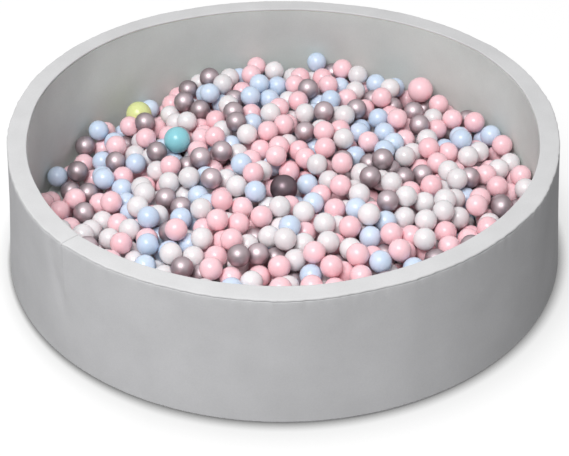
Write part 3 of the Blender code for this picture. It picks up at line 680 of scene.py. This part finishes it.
def woven_tape(name, colour):
    """Woven polyester zip tape. Its herringbone twill gives fine slanted ribs, drawn 1.2 mm apart where they
    are 0.6 mm, with painted shade between them, and a flat satin face."""
    made, tree, shader, place = fresh_material(name)
    cloth = node(tree, "UVMap", uv_map="cloth")
    slanted = WAVES_PER_METRE / TWILL_DRAWN / math.sqrt(2)
    ribs = node(tree, "TexWave", {"Vector": cloth, "Scale": slanted, "Distortion": 0.4},
                bands_direction="DIAGONAL").outputs["Fac"]
    dust = node(tree, "TexNoise", {"Vector": place, "Scale": 60.0, "Detail": 2.0})
    # The valleys between the ribs get painted shade, at 0.8 of the tape's colour.
    deep, full = strengths(colour, 0.80, 1.0)
    ribbed = node(tree, "Mix", {"Factor": ribs, 6: deep, 7: full}, data_type="RGBA")
    gloss = node(tree, "MapRange", {"Value": dust, "To Min": 0.70, "To Max": 0.85})
    bump = node(tree, "Bump", {"Strength": 0.5, "Distance": 0.0003, "Height": ribs})
    feed(tree, shader, {"Base Color": ribbed, "Roughness": gloss, "Normal": bump})
    return made


def moulded_acetal(name, colour):
    """Moulded acetal zip teeth: an even satin plastic with slight flow marks of 3 mm."""
    made, tree, shader, place = fresh_material(name)
    flow = node(tree, "TexNoise", {"Vector": place, "Scale": 330.0, "Detail": 1.0})
    deep, full = strengths(colour, 0.93, 1.0)
    tint = node(tree, "Mix", {"Factor": flow, 6: deep, 7: full}, data_type="RGBA")
    feed(tree, shader, {"Base Color": tint, "Roughness": 0.42})
    return made


def plated_zinc(name):
    """Die-cast zinc, barrel-tumbled and nickel plated: a bright metal with fine tumbling scratches, 0.1 mm
    wide and drawn 0.4 mm, and duller spots where it has been handled."""
    made, tree, shader, place = fresh_material(name)
    long_way = node(tree, "Mapping", {"Vector": place, "Scale": (1.0, 0.15, 1.0)})
    scratch = node(tree, "TexNoise", {"Vector": long_way, "Scale": 2500.0, "Detail": 2.0})
    wear_and_shade = node(tree, "TexNoise", {"Vector": place, "Scale": 180.0, "Detail": 3.0})
    tint = node(tree, "Mix", {"Factor": wear_and_shade, 6: linear("#B9B9BB"), 7: linear("#D6D6D8")},
                data_type="RGBA")
    gloss = node(tree, "MapRange", {"Value": wear_and_shade, "To Min": 0.42, "To Max": 0.24})
    bump = node(tree, "Bump", {"Strength": 0.15, "Distance": 0.0001, "Height": scratch})
    feed(tree, shader, {"Base Color": tint, "Roughness": gloss, "Normal": bump, "Metallic": 1.0})
    return made


def ball_relief(tree, radius):
    """Height of a blow-moulded ball's surface: a fine ridge where the mould's halves met, 0.5 mm wide and
    drawn 0.9 mm, and a blow hole plug of 5 mm at one pole."""
    along = node(tree, "Attribute", attribute_name="along_mould").outputs["Fac"]
    off = node(tree, "Math", {0: along}, operation="ABSOLUTE")
    ridge = node(tree, "MapRange", {"Value": off, "From Min": RIDGE_DRAWN / radius, "From Max": 0.0},
                 interpolation_type="SMOOTHSTEP")
    edge = math.cos(math.asin(PLUG_RADIUS / radius))
    plug = node(tree, "MapRange", {"Value": along, "From Min": edge - 0.001, "From Max": edge + 0.001},
                interpolation_type="SMOOTHSTEP")
    return node(tree, "Math", {0: ridge, 1: plug}, operation="SUBTRACT")


def tinted(tree, ends, flow, flow_weight, span):
    """A colour between two ends: each ball has its own, moved by where the plastic flowed. The span is the
    sum of both that gives the first end and the sum that gives the second."""
    tone = node(tree, "Attribute", attribute_name="tone").outputs["Fac"]
    mixed = node(tree, "Math", {0: flow, 1: flow_weight, 2: tone}, operation="MULTIPLY_ADD")
    share = node(tree, "MapRange", {"Value": mixed, "From Min": span[0], "From Max": span[1]})
    return node(tree, "Mix", {"Factor": share, 6: ends[0], 7: ends[1]}, data_type="RGBA")


def moulded_skin(tree, shader, radius, colour, fleck, fleck_span, gloss_span, sockets):
    """Ends a ball's material with its colour, its gloss, which the flecks move between two values, and the
    mould's marks."""
    gloss = node(tree, "MapRange", {
        "Value": fleck, "From Min": fleck_span[0], "From Max": fleck_span[1],
        "To Min": gloss_span[0], "To Max": gloss_span[1],
    })
    marks = ball_relief(tree, radius)
    bump = node(tree, "Bump", {"Strength": 0.30, "Distance": 0.0003, "Height": marks})
    feed(tree, shader, {"Base Color": colour, "Roughness": gloss, "Normal": bump, **sockets})


def blown_polyethylene(name, colour, radius):
    """Low-density polyethylene, blow-moulded to a thin hollow ball: a waxy satin skin that lets a little
    light in, each ball a touch lighter or darker, with slight thick and thin clouds and scuffs."""
    made, tree, shader, place = fresh_material(name)
    cloud = node(tree, "TexNoise", {"Vector": place, "Scale": 38.0, "Detail": 2.0})
    scuff = node(tree, "TexNoise", {"Vector": place, "Scale": 420.0, "Detail": 4.0})
    base = np.array(linear(colour)[:3])
    ends = (*(base**1.10 * 0.93), 1.0), (*(base**0.93), 1.0)
    tint = tinted(tree, ends, cloud, 0.35, (0.05, 1.25))
    moulded_skin(tree, shader, radius, tint, scuff, (0.35, 0.70), (0.22, 0.30), {
        "IOR": 1.51, "Subsurface Weight": 0.35, "Subsurface Scale": 0.008,
        "Subsurface Radius": (1.0, 0.8, 0.8),
    })
    return made


def pearl_polyethylene(name, colour, radius, roughness):
    """Polyethylene with mica pearl pigment, blow-moulded: the mica makes it glint like brushed metal, darker
    towards its edges, and swirls faintly where the plastic flowed."""
    made, tree, shader, place = fresh_material(name)
    swirl = node(tree, "TexNoise", {"Vector": place, "Scale": 55.0, "Detail": 3.0, "Distortion": 1.2})
    flake = node(tree, "TexNoise", {"Vector": place, "Scale": 900.0, "Detail": 2.0})
    tint = tinted(tree, strengths(colour, 0.78, 1.12), swirl, 0.5, (0.1, 1.4))
    moulded_skin(tree, shader, radius, tint, flake, (0.3, 0.7), (roughness - 0.04, roughness + 0.06),
                 {"Metallic": PEARL_METALLIC, "Specular Tint": linear(PEARL_EDGE)})
    return made


def ball_finish(colour, radius):
    """The finish of a ball of one colour. Silver and charcoal balls have pearl pigment."""
    shade = getattr(bpy.context.scene.ball_pit_balls, colour)
    name = f"blown_polyethylene_{colour}"
    if name in bpy.data.materials:
        return bpy.data.materials[name]
    if colour in PEARL_ROUGHNESS:
        return pearl_polyethylene(name, shade, radius, PEARL_ROUGHNESS[colour])
    return blown_polyethylene(name, shade, radius)


def heap_height(x, y):
    """The most that a ball's centre may rise at (x, y): a low crown, higher at the back, lower left."""
    inside = inner_radius(HEAP_AT_WALL)
    height = HEAP_AT_WALL + HEAP_CROWN * (1 - (x * x + y * y) / inside**2)
    swells = ((HEAP_BACK_RISE, HEAP_BACK_RISE_SHARES), (-HEAP_LEFT_DIP, HEAP_LEFT_DIP_SHARES))
    for rise, (across, back) in swells:
        away = (x - across * inside) ** 2 + (y - back * inside) ** 2
        height = height + rise * np.exp(-away / HEAP_SWELL_SPREAD**2)
    return height


def wall_limit(z, radius):
    """How far from the middle a ball's centre can be at height z."""
    flat_side = math.cos(math.pi / RING_STEPS)
    return inner_radius(z) * flat_side - radius - BALL_CLEARANCE


def resting_height(points, radius, placed):
    """Height at which a ball's centre stops when it is let down at each point, onto balls or floor."""
    away = (points[:, :1] - placed[:, 0]) ** 2 + (points[:, 1:] - placed[:, 1]) ** 2
    reach = (placed[:, 3] + radius + BALL_CLEARANCE) ** 2 - away
    on_ball = np.where(reach > 0, placed[:, 2] + np.sqrt(np.maximum(reach, 0)), 0.0)
    on_floor = floor_top() + BALL_CLEARANCE + radius
    return np.maximum(on_ball.max(axis=1, initial=0.0), on_floor)


def roll(point, radius, placed, draw):
    """Lets a ball roll down from a point to where it is lower than all round it."""
    height = resting_height(point[None], radius, placed)[0]
    step = FIRST_STEP_SHARE * radius
    headings = np.arange(ROLL_DIRECTIONS) * 2 * math.pi / ROLL_DIRECTIONS
    for turn in draw.random(ROLL_TRIES):
        angles = headings + turn
        tries = point + step * np.stack([np.cos(angles), np.sin(angles)], axis=1)
        limit = wall_limit(height, radius)
        from_middle = np.hypot(tries[:, 0], tries[:, 1])
        tries *= np.minimum(1.0, limit / from_middle)[:, None]
        heights = resting_height(tries, radius, placed)
        best = heights.argmin()
        if heights[best] < height:
            point, height = tries[best], heights[best]
        else:
            step *= STEP_SHRINK_SHARE
    return np.array([*point, height, radius])


def covers(ball, others):
    """Whether a ball lies over any of the others, so that they couldn't be lifted out."""
    if not len(others):
        return False
    apart = np.hypot(others[:, 0] - ball[0], others[:, 1] - ball[1])
    over = apart < others[:, 3] + ball[3] + BALL_CLEARANCE
    return bool((over & (others[:, 2] < ball[2])).any())


def near(point, placed, radius):
    """The placed balls that a ball rolling from here could meet."""
    reach = NEIGHBOUR_SHARE * radius
    return placed[(abs(placed[:, 0] - point[0]) < reach) & (abs(placed[:, 1] - point[1]) < reach)]


def fill(placed, ceiling, large, draw):
    """Drops small balls at random until none more comes to rest under the ceiling."""
    misses = 0
    while misses < MISSES_TO_FULL:
        distance = math.sqrt(draw.random()) * wall_limit(HEAP_AT_WALL, BALL_RADIUS)
        angle = draw.random() * 2 * math.pi
        point = distance * np.array([math.cos(angle), math.sin(angle)])
        ball = roll(point, BALL_RADIUS, near(point, placed, BALL_RADIUS), draw)
        if ball[2] > heap_height(ball[0], ball[1]) - ceiling or covers(ball, large):
            misses += 1
        else:
            misses = 0
            placed = np.vstack([placed, ball])
    return placed


@lru_cache(maxsize=1)
def pile_balls():
    """The heap as rows of x, y, z, radius, the large balls first, and the colour of each small ball."""
    draw = np.random.default_rng(SEED)
    placed = fill(np.empty((0, 4)), 2 * BALL_RADIUS, np.empty((0, 4)), draw)
    inside = inner_radius(HEAP_AT_WALL)
    large = []
    for across, back in LARGE_BALLS_SHARES.values():
        point = np.array([[across * inside, back * inside]])
        height = resting_height(point, LARGE_BALL_RADIUS, placed)[0]
        large.append([*point[0], height, LARGE_BALL_RADIUS])
    large = np.array(large)
    placed = fill(np.vstack([large, placed]), 0.0, large, draw)
    shares = np.array(list(COLOUR_SHARES.values()))
    colours = draw.choice(list(COLOUR_SHARES), len(placed), p=shares / shares.sum())
    return placed, colours


@lru_cache(maxsize=1)
def loose_nodes():
    """The frame's loose balls, as node names by their row in the heap. Each is matched by its centre."""
    placed, _ = pile_balls()
    found = {}
    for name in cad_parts:
        if name.startswith("ball_") and name != "ball_heap":
            low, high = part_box(name)
            away = np.linalg.norm(placed[:, :3] - (np.array(low) + np.array(high)) / 2, axis=1)
            if away.min() > 0.0001:
                raise RuntimeError(f"{name} isn't where the heap has a ball")
            found[int(away.argmin())] = name
    return found


def cube_ball(cells):
    """A ball of radius 1 as points and faces: each side of a cube is a grid whose lines stand at equal
    angles, and every point is moved out to the ball. Points that two sides share are made one."""
    line = np.tan(np.linspace(-math.pi / 4, math.pi / 4, cells + 1))
    u, v = np.meshgrid(line, line, indexing="ij")
    one = np.ones_like(u)
    sides = [(one, u, v), (-one, v, u), (v, one, u), (u, -one, v), (u, v, one), (v, u, -one)]
    points = np.concatenate([np.stack(side, axis=-1).reshape(-1, 3) for side in sides])
    points /= np.linalg.norm(points, axis=1)[:, None]
    row, column = np.meshgrid(np.arange(cells), np.arange(cells), indexing="ij")
    width = cells + 1
    corner = (row * width + column).ravel()
    quads = np.stack([corner, corner + width, corner + width + 1, corner + 1], axis=1)
    faces = np.concatenate([quads + side * width * width for side in range(6)])
    _, first, same = np.unique(points.round(6), axis=0, return_index=True, return_inverse=True)
    return points[first], same.ravel()[faces]


def many_balls(balls, cells, seed):
    """Balls given as rows of x, y, z, radius, as points, faces and shades: along_mould is how far a point
    lies towards its ball's blow hole, from -1 to 1, and tone is one random value for each ball."""
    unit, quads = cube_ball(cells)
    draw = np.random.default_rng(seed)
    axes = draw.normal(size=(len(balls), 3))
    axes /= np.linalg.norm(axes, axis=1)[:, None]
    points = balls[:, None, :3] + balls[:, None, 3:] * unit
    faces = quads + np.arange(len(balls))[:, None, None] * len(unit)
    tones = np.repeat(draw.random(len(balls)), len(unit))
    return points.reshape(-1, 3), faces.reshape(-1, 4), {"along_mould": (axes @ unit.T), "tone": tones}


class BALLPIT_OT_cover(bpy.types.Operator):
    """Makes the cover's panels: outer wall, rim, inner wall, floor, base and hem"""

    bl_idname = "ball_pit.cover"
    bl_label = "Cover"

    def execute(self, context):
        settings = context.scene.ball_pit_cover
        wall = brushed_jersey("brushed_jersey_wall", settings.wall_colour)
        lining = brushed_jersey("brushed_jersey_inside", settings.inner_colour)
        rim = brushed_jersey("brushed_jersey_rim", settings.rim_colour)
        sewn = brushed_jersey("brushed_jersey_base", settings.wall_colour, stitched=True)
        seam = PIT_HEIGHT - SEAM_BELOW_RIM
        half = CLOTH / 2
        self.wall_panels(seam, half, wall, lining)
        self.rim_panel(seam, half, rim)
        self.floor_panel(half, lining)
        self.underside(half, sewn)
        return {"FINISHED"}

    def wall_panels(self, seam, half, fabric, lining):
        """Each wall panel hangs straight between its seams, and its edges tuck into them."""
        angles = ring_angles()
        top, foot = seam - SEAM_OPEN, BASE_SKIN + GAP + half
        out_top, out_foot = outer_radius(top) - half, outer_radius(foot) - half
        path = rounded(
            [(out_top - SEAM_TUCK, top), (out_top, top), (out_foot, foot), (out_foot - SEAM_TUCK, foot)],
            (TUCK_ROLL, TUCK_ROLL), 0.011)
        add_sheet("outer_wall_panel", swept(strip(path, CLOTH), angles, True, settled), fabric,
                  "cover_fabric", ["cover_outer_wall"], flat=(2 * math.pi * 0.691, 0.333),
                  held="stretched", rests_on=FOAM_STRIPS)
        low = floor_top() - SKIN
        in_top, in_low = inner_radius(top) + half, inner_radius(low) + half
        path = rounded([(in_low, low), (in_top, top), (in_top + SEAM_TUCK, top)], (TUCK_ROLL,), 0.012)
        add_sheet("inner_wall_panel", swept(strip(path, CLOTH), angles, True, settled), lining,
                  "cover_fabric", ["cover_inner_wall"], flat=(2 * math.pi * 0.642, 0.301),
                  held="stretched", rests_on=FOAM_STRIPS)

    def rim_panel(self, seam, half, fabric):
        """The rim panel lies over the top of the foam and rolls over both its edges."""
        low, top = seam + SEAM_OPEN + half, PIT_HEIGHT - half
        left, right = inner_radius(low) + half, outer_radius(low) - half
        path = rounded(
            [(left + SEAM_TUCK, low), (left, low), (left, top), (right, top), (right, low),
             (right - SEAM_TUCK, low)],
            (TUCK_ROLL, INNER_ROLL, OUTER_ROLL, TUCK_ROLL), 0.004)
        shape = swept(strip(path, CLOTH), ring_angles(), True, settled)
        # This marks the seam across the rim for a painted line of shade, with some dust.
        off_seam = turn_from(np.arctan2(shape[0][:, 1], shape[0][:, 0]), FRONT_JOINT_DEG) * RIM_RADIUS
        sewn = {"seam": bell(off_seam, SEAM_SHADE_REACH)}
        add_sheet("rim_panel", shape, fabric, "rim_fabric", ["cover_rim"], sewn,
                  flat=(2 * math.pi * 0.656, 0.064), held="stretched", rests_on=FOAM_STRIPS)

    def floor_panel(self, half, fabric):
        """A flat round panel under the balls."""
        height = floor_top() - half
        reach = inner_radius(height) - GAP - half
        spokes = np.linspace(0, reach, 16)
        path = np.stack([spokes, np.full(16, height)], axis=1)
        outline = strip(path, CLOTH)[:-3]
        angles = np.linspace(0, 2 * math.pi, DISC_COLUMNS + 1)
        add_sheet("floor_panel", disc(outline, angles, unmoved), fabric, "cover_fabric", ["cover_floor"],
                  flat=(2 * reach, 2 * reach), held="laid", area=math.pi * reach**2, rests_on=["foam_disc"])

    def underside(self, half, fabric):
        """The base panel and the hem outside the zip. Each edge beside the zip is folded up and back. The
        bridge is sewn across them where no zip runs."""
        fold_top = ZIP_HEM_HEIGHT - half
        inside, outside = zip_line() - ZIP_PANEL_GAP - half, zip_line() + ZIP_PANEL_GAP + half
        path = rounded(
            [(inside - ZIP_HEM_WIDTH, fold_top), (inside, fold_top), (inside, half), (0.0, half)],
            (FOLD_ROLL, FOLD_ROLL), 0.045)
        along = strip(path, CLOTH)
        ends = len(path)
        outline = np.vstack([along[ends + 3 :], along[:ends]])
        outline[0, 0] = outline[-1, 0] = 0.0
        angles = np.linspace(0, 2 * math.pi, 2 * DISC_COLUMNS + 1)
        add_sheet("base_panel", disc(outline, angles, unmoved), fabric, "cover_fabric", ["cover_base"],
                  flat=(2 * inside, 2 * inside), held="stretched", area=math.pi * inside**2,
                  rests_on=["foam_disc", *FOAM_STRIPS])
        edge, lift = BASE_RADIUS - HEM_BEHIND - half, BASE_SKIN - half
        path = rounded(
            [(edge - SEAM_TUCK, lift), (edge, lift), (edge, half), (outside, half), (outside, fold_top),
             (outside + ZIP_HEM_WIDTH, fold_top)],
            (FOLD_ROLL, FOLD_ROLL, FOLD_ROLL, FOLD_ROLL), 0.006)
        shape = swept(strip(path, CLOTH), ring_angles(columns=ZIP_COLUMNS), True, unmoved)
        add_sheet("hem_panel", shape, fabric, "cover_fabric", ["cover_base_hem"],
                  flat=(2 * math.pi * 0.692, 0.036), held="stretched", rests_on=FOAM_STRIPS)
        start = ZIP_SEWN_MIDDLE_DEG - ZIP_SEWN_DEG / 2
        path = np.linspace((outside + 0.002, 2.0 * CLOTH), (inside - 0.002, 2.0 * CLOTH), 6)
        angles = ring_angles(start, start + ZIP_SEWN_DEG, ZIP_COLUMNS)
        add_sheet("sewn_bridge", swept(strip(path, CLOTH), angles, False, unmoved), fabric, "cover_fabric",
                  [], flat=(0.265, 0.018), held="stretched", rests_on=["hem_panel", "base_panel"])


class BALLPIT_OT_foam(bpy.types.Operator):
    """Makes the two strips of foam that stand as the wall, and the round foam floor"""

    bl_idname = "ball_pit.foam"
    bl_label = "Foam"

    def execute(self, context):
        settings = context.scene.ball_pit_foam
        foam = open_cell_foam("open_cell_foam", settings.colour, settings.cell)
        low, high = BASE_SKIN + GAP, PIT_HEIGHT - SKIN - GAP
        under = SKIN + 2 * GAP
        groove = (zip_line() - ZIP_GROOVE_HALF, zip_line() + ZIP_GROOVE_HALF)
        corners = [
            (groove[0], ZIP_GROOVE_TOP), (groove[0], low), (inner_radius(low) + under, low),
            (inner_radius(high) + under, high), (outer_radius(high) - under, high),
            (outer_radius(low) - under, low), (groove[1], low), (groove[1], ZIP_GROOVE_TOP),
        ]
        outline = rounded(corners, FOAM_ROLLS, 0.020)
        joint = math.degrees(GAP / RIM_RADIUS)
        spans = {
            "foam_strip_back": ("foam_wall_back", BACK_JOINT_DEG, FRONT_JOINT_DEG),
            "foam_strip_front": ("foam_wall_front", FRONT_JOINT_DEG, BACK_JOINT_DEG + 360.0),
        }
        for name, (replaced, start, end) in spans.items():
            angles = ring_angles(start + joint, end - joint, FOAM_COLUMNS)
            add_foam(name, swept(outline, angles, False, settled), foam, replaced)
        low, high = BASE_SKIN + 2 * GAP, BASE_SKIN + FLOOR_FOAM
        reach = inner_radius(FLOOR_FOAM)
        path = rounded([(0.0, high), (reach, high), (reach, low), (0.0, low)], (0.002, 0.002), 0.070)
        angles = np.linspace(0, 2 * math.pi, DISC_COLUMNS + 1)
        add_foam("foam_disc", disc(path, angles, unmoved), foam, "foam_floor")
        return {"FINISHED"}


class BALLPIT_OT_zip(bpy.types.Operator):
    """Makes the zip's tapes and rows of teeth, and finishes its slider, pull tab and stops"""

    bl_idname = "ball_pit.zip"
    bl_label = "Zip"

    def execute(self, context):
        settings = context.scene.ball_pit_zip
        tape = woven_tape("woven_zip_tape", settings.tape_colour)
        teeth = moulded_acetal("moulded_teeth", settings.tooth_colour)
        metal = plated_zinc("plated_zinc")
        start = ZIP_SEWN_MIDDLE_DEG + ZIP_SEWN_DEG / 2
        end = ZIP_SEWN_MIDDLE_DEG - ZIP_SEWN_DEG / 2 + 360.0
        level = ZIP_HEM_HEIGHT + GAP + ZIP_TAPE_THICKNESS / 2
        room = math.degrees(GAP / ZIP_RADIUS)
        stop = math.degrees(ZIP_STOP_LENGTH / ZIP_RADIUS)
        for side, name in ((-1, "inner"), (1, "outer")):
            near_edge = zip_line() + side * (ZIP_SLIT / 2 + TAPE_INSET)
            far_edge = zip_line() + side * (ZIP_SLIT / 2 + ZIP_TAPE_WIDTH - TAPE_END_INSET)
            path = np.linspace((near_edge, level), (far_edge, level), 8)
            path = path if side > 0 else path[::-1]
            angles = ring_angles(start + room, end - room, ZIP_COLUMNS)
            add_sheet(f"tape_{name}", swept(strip(path, ZIP_TAPE_THICKNESS), angles, False, unmoved), tape,
                      "zip_tape", [f"zip_tape_{name}"], flat=(3.97, ZIP_TAPE_WIDTH), held="stretched",
                      rests_on=["hem_panel", "base_panel"])
            points, faces = self.teeth(side, start + 3 * room + stop, end - 3 * room - stop,
                                       settings.tooth_pitch, level)
            made = add_piece(f"teeth_{name}", points, faces, teeth, "pit", [f"zip_teeth_{name}"])
        kept = {"zip_stop_start": teeth, "zip_stop_end": teeth, "zip_slider": metal, "zip_pull_tab": metal}
        for name, material in kept.items():
            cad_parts[name].data.materials.clear()
            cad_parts[name].data.materials.append(material)
        return {"FINISHED"}

    def teeth(self, side, start_deg, end_deg, pitch, level):
        """A row of teeth. Seen from below each has a foot on the tape, a neck, and a head twice as long as
        its neck, and it wraps the tape's edge. The eight-cornered outline is lifted to a block and set
        round the zip at the pitch."""
        shape = np.array([
            (0.0, -0.30), (0.35, -0.36), (0.62, -0.20), (1.0, -0.34), (1.0, 0.34), (0.62, 0.20),
            (0.35, 0.36), (0.0, 0.30),
        ])[:: side]
        away = zip_line() + side * (ZIP_SLIT / 2 + ZIP_TEETH_WIDTH * shape[:, 0])
        low = level - ZIP_TAPE_THICKNESS / 2 - TEETH_UNDER_TAPE
        high = level + ZIP_TAPE_THICKNESS / 2 + GAP + ZIP_TEETH_HEIGHT
        count = int(math.radians(end_deg - start_deg) * ZIP_RADIUS / pitch)
        middles = np.radians(start_deg) + (np.arange(count) + 0.5) * pitch / ZIP_RADIUS
        angles = middles[:, None] + shape[:, 1] * pitch / ZIP_RADIUS
        flat = np.stack([away * np.cos(angles), away * np.sin(angles)], axis=-1)
        layers = [np.concatenate([flat, np.full((*flat.shape[:2], 1), at)], axis=-1) for at in (low, high)]
        points = np.concatenate(layers, axis=1).reshape(-1, 3)
        ring = np.arange(8)
        on = (ring + 1) % 8
        base = (np.arange(count) * 16)[:, None, None]
        walls = (base + np.stack([ring, on, on + 8, ring + 8], axis=1)).reshape(-1, 4).tolist()
        lids = (base[:, 0] + ring + 8).tolist()
        floors = (base[:, 0] + ring[::-1]).tolist()
        return points, walls + lids + floors


class BALLPIT_OT_heap(bpy.types.Operator):
    """Makes the balls that aren't loose, one mesh for each colour"""

    bl_idname = "ball_pit.heap"
    bl_label = "Heap"

    def execute(self, context):
        settings = context.scene.ball_pit_balls
        placed, colours = pile_balls()
        still = np.ones(len(placed), bool)
        still[list(loose_nodes())] = False
        deep = placed[:, 2] < heap_height(placed[:, 0], placed[:, 1]) - BURIED_SHARE * BALL_RADIUS
        for number, colour in enumerate(COLOUR_SHARES):
            chosen = still & (colours == colour)
            seen = many_balls(placed[chosen & ~deep], settings.heap_cells, SEED + number)
            hidden = many_balls(placed[chosen & deep], settings.buried_cells, SEED + 10 + number)
            points = np.vstack([seen[0], hidden[0]])
            faces = np.vstack([seen[1], hidden[1] + len(seen[0])])
            shades = {key: np.append(seen[2][key].ravel(), hidden[2][key].ravel()) for key in seen[2]}
            made = add_piece(f"heap_{colour}", points, faces, ball_finish(colour, BALL_RADIUS), "pit",
                             ["ball_heap"], None, shades)
        return {"FINISHED"}


class BALLPIT_OT_loose_balls(bpy.types.Operator):
    """Makes each loose ball as a piece of its own"""

    bl_idname = "ball_pit.loose_balls"
    bl_label = "Loose balls"

    def execute(self, context):
        settings = context.scene.ball_pit_balls
        placed, _ = pile_balls()
        found = loose_nodes()
        if len(found) != sum(name.startswith("ball_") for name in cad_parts) - 1:
            raise RuntimeError("two loose balls share one place in the heap")
        for number, name in found.items():
            title = name.removeprefix("ball_")
            colour = title.removeprefix("large_").split("_")[0]
            points, faces, shades = many_balls(placed[[number]], settings.loose_cells, SEED + 100 + number)
            finish = ball_finish(colour, placed[number, 3])
            made = add_piece(f"play_ball_{title}", points, faces, finish, name, [name], None, shades)
        return {"FINISHED"}


class BALLPIT_OT_stage(bpy.types.Operator):
    """Makes the floor, the lamps, the sky and the camera"""

    bl_idname = "ball_pit.stage"
    bl_label = "Stage"

    def execute(self, context):
        settings = context.scene.ball_pit_stage
        self.floor(settings)
        self.sky(context, settings)
        for name, place in LAMPS.items():
            self.lamp(f"{name}_lamp", getattr(settings, f"{name}_level"), *place)
        bpy.data.objects["back_lamp"].visible_glossy = False
        self.camera(context)
        context.scene.view_settings.view_transform = "Standard"
        return {"FINISHED"}

    def floor(self, settings):
        """A wide floor just under the pit. The camera and reflections see it white, darker where the pit's
        base shuts out the light from close by, less far out on the left, which the lamps face, and where
        its lamp shadows fall. Other rays meet it darker, so that it throws little light back up."""
        made, tree, shader, place = fresh_material("studio_floor")
        across = node(tree, "SeparateXYZ", {0: place}).outputs["X"]
        lee = node(tree, "MapRange", {"Value": across, "From Min": -0.70, "From Max": -0.30, "To Min": 0.40})
        open_share = 1.0
        for reach, darkest in FLOOR_SHADES:
            away = node(tree, "Math", {0: lee, 1: reach}, operation="MULTIPLY")
            near_by = node(tree, "AmbientOcclusion", {"Distance": away}, samples=12).outputs["AO"]
            level = node(tree, "MapRange", {"Value": near_by, "From Min": 0.5, "To Min": darkest})
            open_share = node(tree, "Math", {0: level, 1: open_share}, operation="MULTIPLY")
        lit = node(tree, "Math", {0: open_share, 1: settings.floor_shadow}, operation="MULTIPLY")
        steady = node(tree, "Math", {0: open_share, 1: 1.02 - settings.floor_shadow}, operation="MULTIPLY")
        pale = node(tree, "BsdfDiffuse", {"Color": lit})
        glow = node(tree, "Emission", {"Color": WHITE, "Strength": steady})
        bright = node(tree, "AddShader", {0: pale, 1: glow})
        dull = node(tree, "BsdfDiffuse", {"Color": (*[settings.floor_bounce] * 3, 1.0)})
        both = node(tree, "MixShader", {0: seen_straight(tree), 1: dull, 2: bright})
        feed(tree, tree.nodes["Material Output"], {"Surface": both})
        tree.nodes.remove(shader)
        mesh = bpy.data.meshes.new("studio_floor")
        side, low = 9.0, -0.0002
        mesh.from_pydata([(-side, -side, low), (side, -side, low), (side, side, low), (-side, side, low)],
                         [], [(0, 1, 2, 3)])
        mesh.materials.append(made)
        linked("studio_floor", mesh)

    def sky(self, context, settings):
        """An even sky: white to the camera and in reflections, and dimmer as a light."""
        world = bpy.data.worlds.new("studio_sky")
        world.use_nodes = True
        tree = world.node_tree
        level = node(tree, "MapRange", {
            "Value": seen_straight(tree), "To Min": settings.sky_level, "To Max": 1.0,
        })
        feed(tree, tree.nodes["Background"], {"Color": WHITE, "Strength": level})
        context.scene.world = world

    def lamp(self, name, level, azimuth_deg, elevation_deg, distance, size):
        """A round lamp aimed at the pit. A round lamp's power for a white level is that level times the
        square of pi times the distance."""
        lamp = bpy.data.lights.new(name, "AREA")
        lamp.shape = "DISK"
        lamp.size = size
        lamp.energy = level * (math.pi * distance) ** 2
        turn = Matrix.Rotation(math.radians(azimuth_deg), 4, "Z")
        tip = Matrix.Rotation(math.radians(90 - elevation_deg), 4, "Y")
        linked(name, lamp).matrix_world = turn @ tip @ Matrix.Translation((0, 0, distance))

    def camera(self, context):
        """The photograph's camera, in front of the pit and looking down at it."""
        camera = bpy.data.cameras.new("photo_camera")
        camera.lens = CAMERA_LENS
        camera.sensor_width = SENSOR
        tip = Matrix.Rotation(math.radians(90 - CAMERA_ELEVATION_DEG), 4, "X")
        roll_it = Matrix.Rotation(math.radians(CAMERA_ROLL_DEG), 4, "Z")
        context.scene.camera = linked("photo_camera", camera)
        context.scene.camera.matrix_world = Matrix.Translation(CAMERA_PLACE) @ tip @ roll_it


class BALLPIT_PT_sidebar(bpy.types.Panel):
    """Lists the pieces of the ball pit and their settings"""

    bl_idname = "BALLPIT_PT_sidebar"
    bl_label = "Ball pit"
    bl_space_type = "VIEW_3D"
    bl_region_type = "UI"
    bl_category = "Ball pit"

    def draw(self, context):
        for operator in OPERATORS:
            self.layout.operator(operator.bl_idname)
        for title in SETTINGS:
            box = self.layout.box()
            group = getattr(context.scene, title)
            for key in group.__annotations__:
                box.prop(group, key)


SETTINGS = {
    "ball_pit_cover": CoverSettings,
    "ball_pit_foam": FoamSettings,
    "ball_pit_zip": ZipSettings,
    "ball_pit_balls": BallSettings,
    "ball_pit_stage": StageSettings,
}
OPERATORS = (
    BALLPIT_OT_cover,
    BALLPIT_OT_foam,
    BALLPIT_OT_zip,
    BALLPIT_OT_heap,
    BALLPIT_OT_loose_balls,
    BALLPIT_OT_stage,
)


def register():
    for group in (*SETTINGS.values(), *OPERATORS, BALLPIT_PT_sidebar):
        bpy.utils.register_class(group)
    for title, group in SETTINGS.items():
        setattr(bpy.types.Scene, title, PointerProperty(type=group))


def unregister():
    for title in SETTINGS:
        delattr(bpy.types.Scene, title)
    for group in reversed((*SETTINGS.values(), *OPERATORS, BALLPIT_PT_sidebar)):
        bpy.utils.unregister_class(group)


def main():
    register()
    bpy.ops.ball_pit.cover()
    bpy.ops.ball_pit.foam()
    bpy.ops.ball_pit.zip()
    bpy.ops.ball_pit.heap()
    bpy.ops.ball_pit.loose_balls()
    bpy.ops.ball_pit.stage()


if __name__ == "__main__":
    main()
